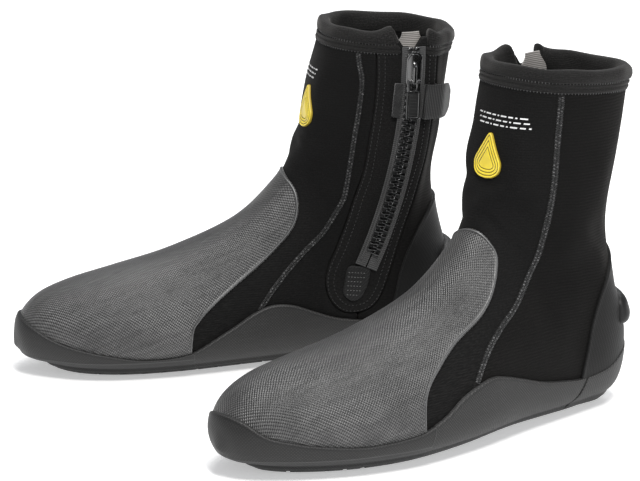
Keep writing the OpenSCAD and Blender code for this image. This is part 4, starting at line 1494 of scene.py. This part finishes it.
def facing_stitches():
    light = Shell()
    for inset, radius in ((1.5, 0.17), (5.4, 0.15)):
        line = shifted(FACING, inset)
        above_foxing = polygon_distance(line, under(FOXING_EDGE[INNER])) < -0.5
        keep = (line[:, 1] < rim_height(line[:, 0]) - 15) & above_foxing
        starts = np.flatnonzero(np.diff(np.concatenate([[0], keep.astype(int), [0]])))
        for a, b in zip(starts[::2], starts[1::2]):
            if b - a > 6:
                path = Path(line[a:b], INNER, 1.0, 0.0, smooth=False)
                running(light, path, 1.3, 1.2, radius)
    light.build("facing_stitches", "thread_dim")


def rounded_rectangle(w, h, r, steps=5):
    return rounded_outline([(-w, -h), (w, -h), (w, h), (-w, h)], r, steps)


def round_bar(shell, radius, rows, sides):
    """Round bar on the pin's line; rows are (place along it, share of the radius)."""
    w = circle(sides)
    rows = [np.column_stack([radius * k * np.cos(w), np.full(sides, v), radius * k * np.sin(w)])
            for v, k in rows]
    loft(shell, [at_zip(SLIDER_ANGLE, "top", PIN)(r) for r in rows])


def slider():
    half, length = 5.2, 24.0
    l = length / 2
    outline = rounded_outline([(-half + 1.6, -l), (half - 1.6, -l), (half, -l + 4), (half, l - 4),
                               (half - 2, l - 0.8), (half - 3.4, l), (-half + 3.4, l), (-half + 2, l - 0.8),
                               (-half, l - 4), (-half, -l + 4)], 1.2)
    shell = Shell()
    slab(shell, outline, 2.7, 3.75, 0.4, at_zip(SLIDER_ANGLE))
    rim = outline * 0.86
    slab(shell, rim, 3.6, 4.05, 0.35, at_zip(SLIDER_ANGLE))
    for side in (-1, 1):
        wall_outline = rounded_outline([(-l + 4, 1.3), (l - 4, 1.3), (l - 4, 3.6), (-l + 4, 3.6)], 0.3, 2)
        middle = side * (half - 0.5)
        slab(shell, wall_outline, middle - 0.5, middle + 0.5, 0.2, at_zip(SLIDER_ANGLE, "side"))
    bridge = rounded_outline([(-9, 3.4), (-9, 5.9), (-7.6, 6.6), (2.6, 6.6), (5.2, 5.2), (5.6, 3.4)], 1.1, 5)
    slab(shell, bridge, -1.2, 1.2, 0.45, at_zip(SLIDER_ANGLE, "side"))
    shell.build("zip_slider", "slider", "slider_metal", body="slider")
    shell = Shell()
    round_bar(shell, PIN_RADIUS, ((-4.3, 0.6), (-4.15, 1), (4.15, 1), (4.3, 0.6)), 16)
    shell.build("slider_pin", "pin", "slider_metal", body="slider")


def ring_plate(shell, outline, width, z0, z1, bevel, place):
    """Raised frame that follows an outline."""
    mid = outline_rings(outline, width, 1)[0][0]
    if signed_area(outline) < 0:
        outline, mid = outline[::-1], mid[::-1]
    loops = [(outline, z0), (outline, z1 - bevel), (outline + (mid - outline) * bevel / width, z1),
             (mid + (outline - mid) * bevel / width, z1), (mid, z1 - bevel), (mid, z0)]
    rows = [place(np.column_stack([o, np.full(len(o), z)])) for o, z in loops]
    loft(shell, rows + rows[:1], caps=False)


def pull_tab():
    w, length = 4.5, 25.0
    place = at_zip(SLIDER_ANGLE, "plan", PIN)
    body = rounded_outline([(-w, 0.6), (-1.55, 0.6), (-1.55, -5.5), (1.55, -5.5), (1.55, 0.6), (w, 0.6),
                            (w, -length + 2), (w - 1.6, -length), (-w + 1.6, -length), (-w, -length + 2)],
                           0.7, 3)
    shell = Shell()
    slab(shell, body, -1.3, -0.5, 0.18, place)
    window = rounded_rectangle(w, (length - 6.4) / 2, 1.6) + [0, -6.4 - (length - 6.4) / 2]
    ring_plate(shell, window, 1.35, -0.8, -0.02, 0.25, place)
    for side in (-1, 1):
        ends = ((1.55, 0.85), (1.75, 1), (4.3, 1), (4.5, 0.85))
        round_bar(shell, 1.38, [(side * v, k) for v, k in ends], 20)
    shell.build("pull_tab", "pull", "pull_plastic", body="pull")
    shell = Shell()
    panel = rounded_rectangle(w - 1.5, (length - 6.4) / 2 - 1.5, 0.8) + [0, -6.4 - (length - 6.4) / 2]
    slab(shell, panel, -0.7, -0.36, 0.1, place)
    for k in range(7):
        bar = rounded_rectangle(w - 2.1, 0.45, 0.3, 3) + [0, -10 - k * 2.1]
        slab(shell, bar, -0.5, -0.2, 0.12, place)
    shell.build("pull_tab_inset", "pull_inset", "pull_plastic", body="pull")


# ------------------------------------------------------------------ keeper


def keeper():
    front, top, flap_open, bend = 7.8, 2.8, math.radians(30), math.radians(25)
    shell = Shell()
    outline = rounded_outline([(-2, front), (top, front), (top - 9 * math.tan(flap_open), front + 9),
                               (-9, front + 9)], 0.8, 4)
    slab(shell, outline, -11.25, 11.25, 0.7, at_zip(FLAP_ANGLE, "top"))
    shell.build("keeper_base", "flap", "keeper_fabric")
    shell = Shell()
    length, thick, half, corner = 27.0, 1.5, 11.25, 7.0
    tip = length - corner + corner * np.sin(np.linspace(0.06, 1.55, 14))
    s = np.concatenate([np.linspace(0.3, length - corner, 26), tip])
    turn = flap_open + bend * ease(length * 0.42, length * 0.72, s)
    step = np.diff(s, prepend=0)
    x = 4.8 - np.cumsum(step * np.sin(turn))
    y = 9 + np.cumsum(step * np.cos(turn))
    rows = []
    for v, cx, cy, t in zip(s, x, y, turn):
        over = max(0.0, v - (length - corner))
        h = half - corner + math.sqrt(max(corner**2 - over**2, 0.04))
        z = np.concatenate([np.linspace(-h, h, 15), np.linspace(h, -h, 15)])
        k = 1 - np.clip((np.abs(z) - h + 0.6) / 0.6, 0, 1) ** 2 * 0.6
        side = np.concatenate([np.full(15, 0.5), np.full(15, -0.5)]) * thick * k - thick / 2
        rows.append(np.column_stack([cx + side * math.cos(t), cy + side * math.sin(t), z]))
    loft(shell, [at_zip(FLAP_ANGLE, "top")(r) for r in rows])
    shell.build("keeper_flap", "flap", "keeper_fabric", body="flap")
    shell = Shell()
    patch_outline = rounded_outline([(-11.8, -11.1), (-5.9, -11.1), (-5.9, 11.1), (-11.8, 11.1)], 1.2)
    slab(shell, patch_outline, 0.3, 2.25, 0.5, at_zip(FLAP_ANGLE))
    shell.build("keeper_loop_patch", "loop", "loop_fabric")
    shell = Shell()
    lift = np.array([2.0, 2.4, 2.45, 2.4, 2.0])
    for x in (-11.1, -6.6):
        for t in np.arange(0.02, 0.97, 0.11):
            q = np.linspace(t, t + 0.07, 5)[:, None]
            line = np.array([x, -10.3]) * (1 - q) + np.array([x, 10.3]) * q
            tube(shell, at_zip(FLAP_ANGLE)(np.column_stack([line, lift])), OUT_ROWS, 0.2)
    shell.build("loop_patch_stitches", "thread_dark")


# ------------------------------------------------------------------ assembly


def apply_modifiers(o):
    depsgraph = bpy.context.evaluated_depsgraph_get()
    mesh = bpy.data.meshes.new_from_object(o.evaluated_get(depsgraph))
    o.modifiers.clear()
    o.data = mesh


for make in (upper, seams, collar, badge, shin_marks, foxing_pieces, outsole, insole, zip_chain, end_patch,
             facing_stitches, slider, pull_tab, keeper):
    make()
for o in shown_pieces():
    if "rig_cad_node" in o:
        o.data.materials.clear()
        o.data.materials.append(PAINT["insole"])

# ------------------------------------------------------------------ floor, light and camera


def studio():
    floor_paint = Paint("floor")
    mottle = floor_paint.noise(floor_paint.place, 3, 3)
    floor_paint.bumps((floor_paint.noise(floor_paint.place, 400, 2), 0.05, 0.2))
    floor_paint.finish(floor_paint.mix(mottle, (0.84, 0.84, 0.84), (0.88, 0.88, 0.88)), 0.6, specular=0.2)
    floor_paint.bsdf.inputs["Emission Color"].default_value = (1, 1, 1, 1)
    floor_paint.bsdf.inputs["Emission Strength"].default_value = 0.42
    bpy.ops.mesh.primitive_plane_add(size=24, location=(0, 0, -0.0002))
    floor = bpy.context.object
    floor.name = "floor"
    floor.data.materials.append(floor_paint.material)
    world = bpy.data.worlds.new("studio")
    bpy.context.scene.world = world
    world.use_nodes = True
    world.node_tree.nodes["Background"].inputs[0].default_value = (0.93, 0.95, 1.0, 1)
    world.node_tree.nodes["Background"].inputs[1].default_value = 0.29
    for name, at, size, power_, tint in (
        ("key", (1.5, -0.2, 2.5), 0.6, 62, (1, 0.99, 0.97)),
        ("side", (2.3, 0.6, 0.9), 0.8, 12, (0.95, 0.97, 1)),
        ("rim", (-1.6, 1.3, 1.8), 0.9, 14, (1, 1, 1)),
        ("top", (0.0, 0.0, 2.4), 0.9, 34, (1, 1, 1)),
    ):
        data = bpy.data.lights.new(name, "AREA")
        data.energy, data.size, data.color = power_, size, tint
        lamp = bpy.data.objects.new(name, data)
        bpy.context.scene.collection.objects.link(lamp)
        lamp.location = at
        lamp.rotation_euler = (Vector((0, 0, 0.1)) - Vector(at)).to_track_quat("-Z", "Y").to_euler()


def camera():
    target = Vector((-0.0493, 0.0100, 0.0928))
    azimuth, elevation, distance = math.radians(66.05), math.radians(14.24), 1.9
    back = Vector((math.sin(azimuth) * math.cos(elevation), -math.cos(azimuth) * math.cos(elevation),
                   math.sin(elevation)))
    data = bpy.data.cameras.new("camera")
    data.lens, data.sensor_width = 166.95, 36
    data.shift_x, data.shift_y = 0.0127, -0.0148
    view = bpy.data.objects.new("camera", data)
    bpy.context.scene.collection.objects.link(view)
    view.location = target + back * distance
    view.rotation_mode = "QUATERNION"
    view.rotation_quaternion = (-back).to_track_quat("-Z", "Y")
    bpy.context.scene.camera = view


studio()
camera()
bpy.context.scene.view_settings.view_transform = "Standard"
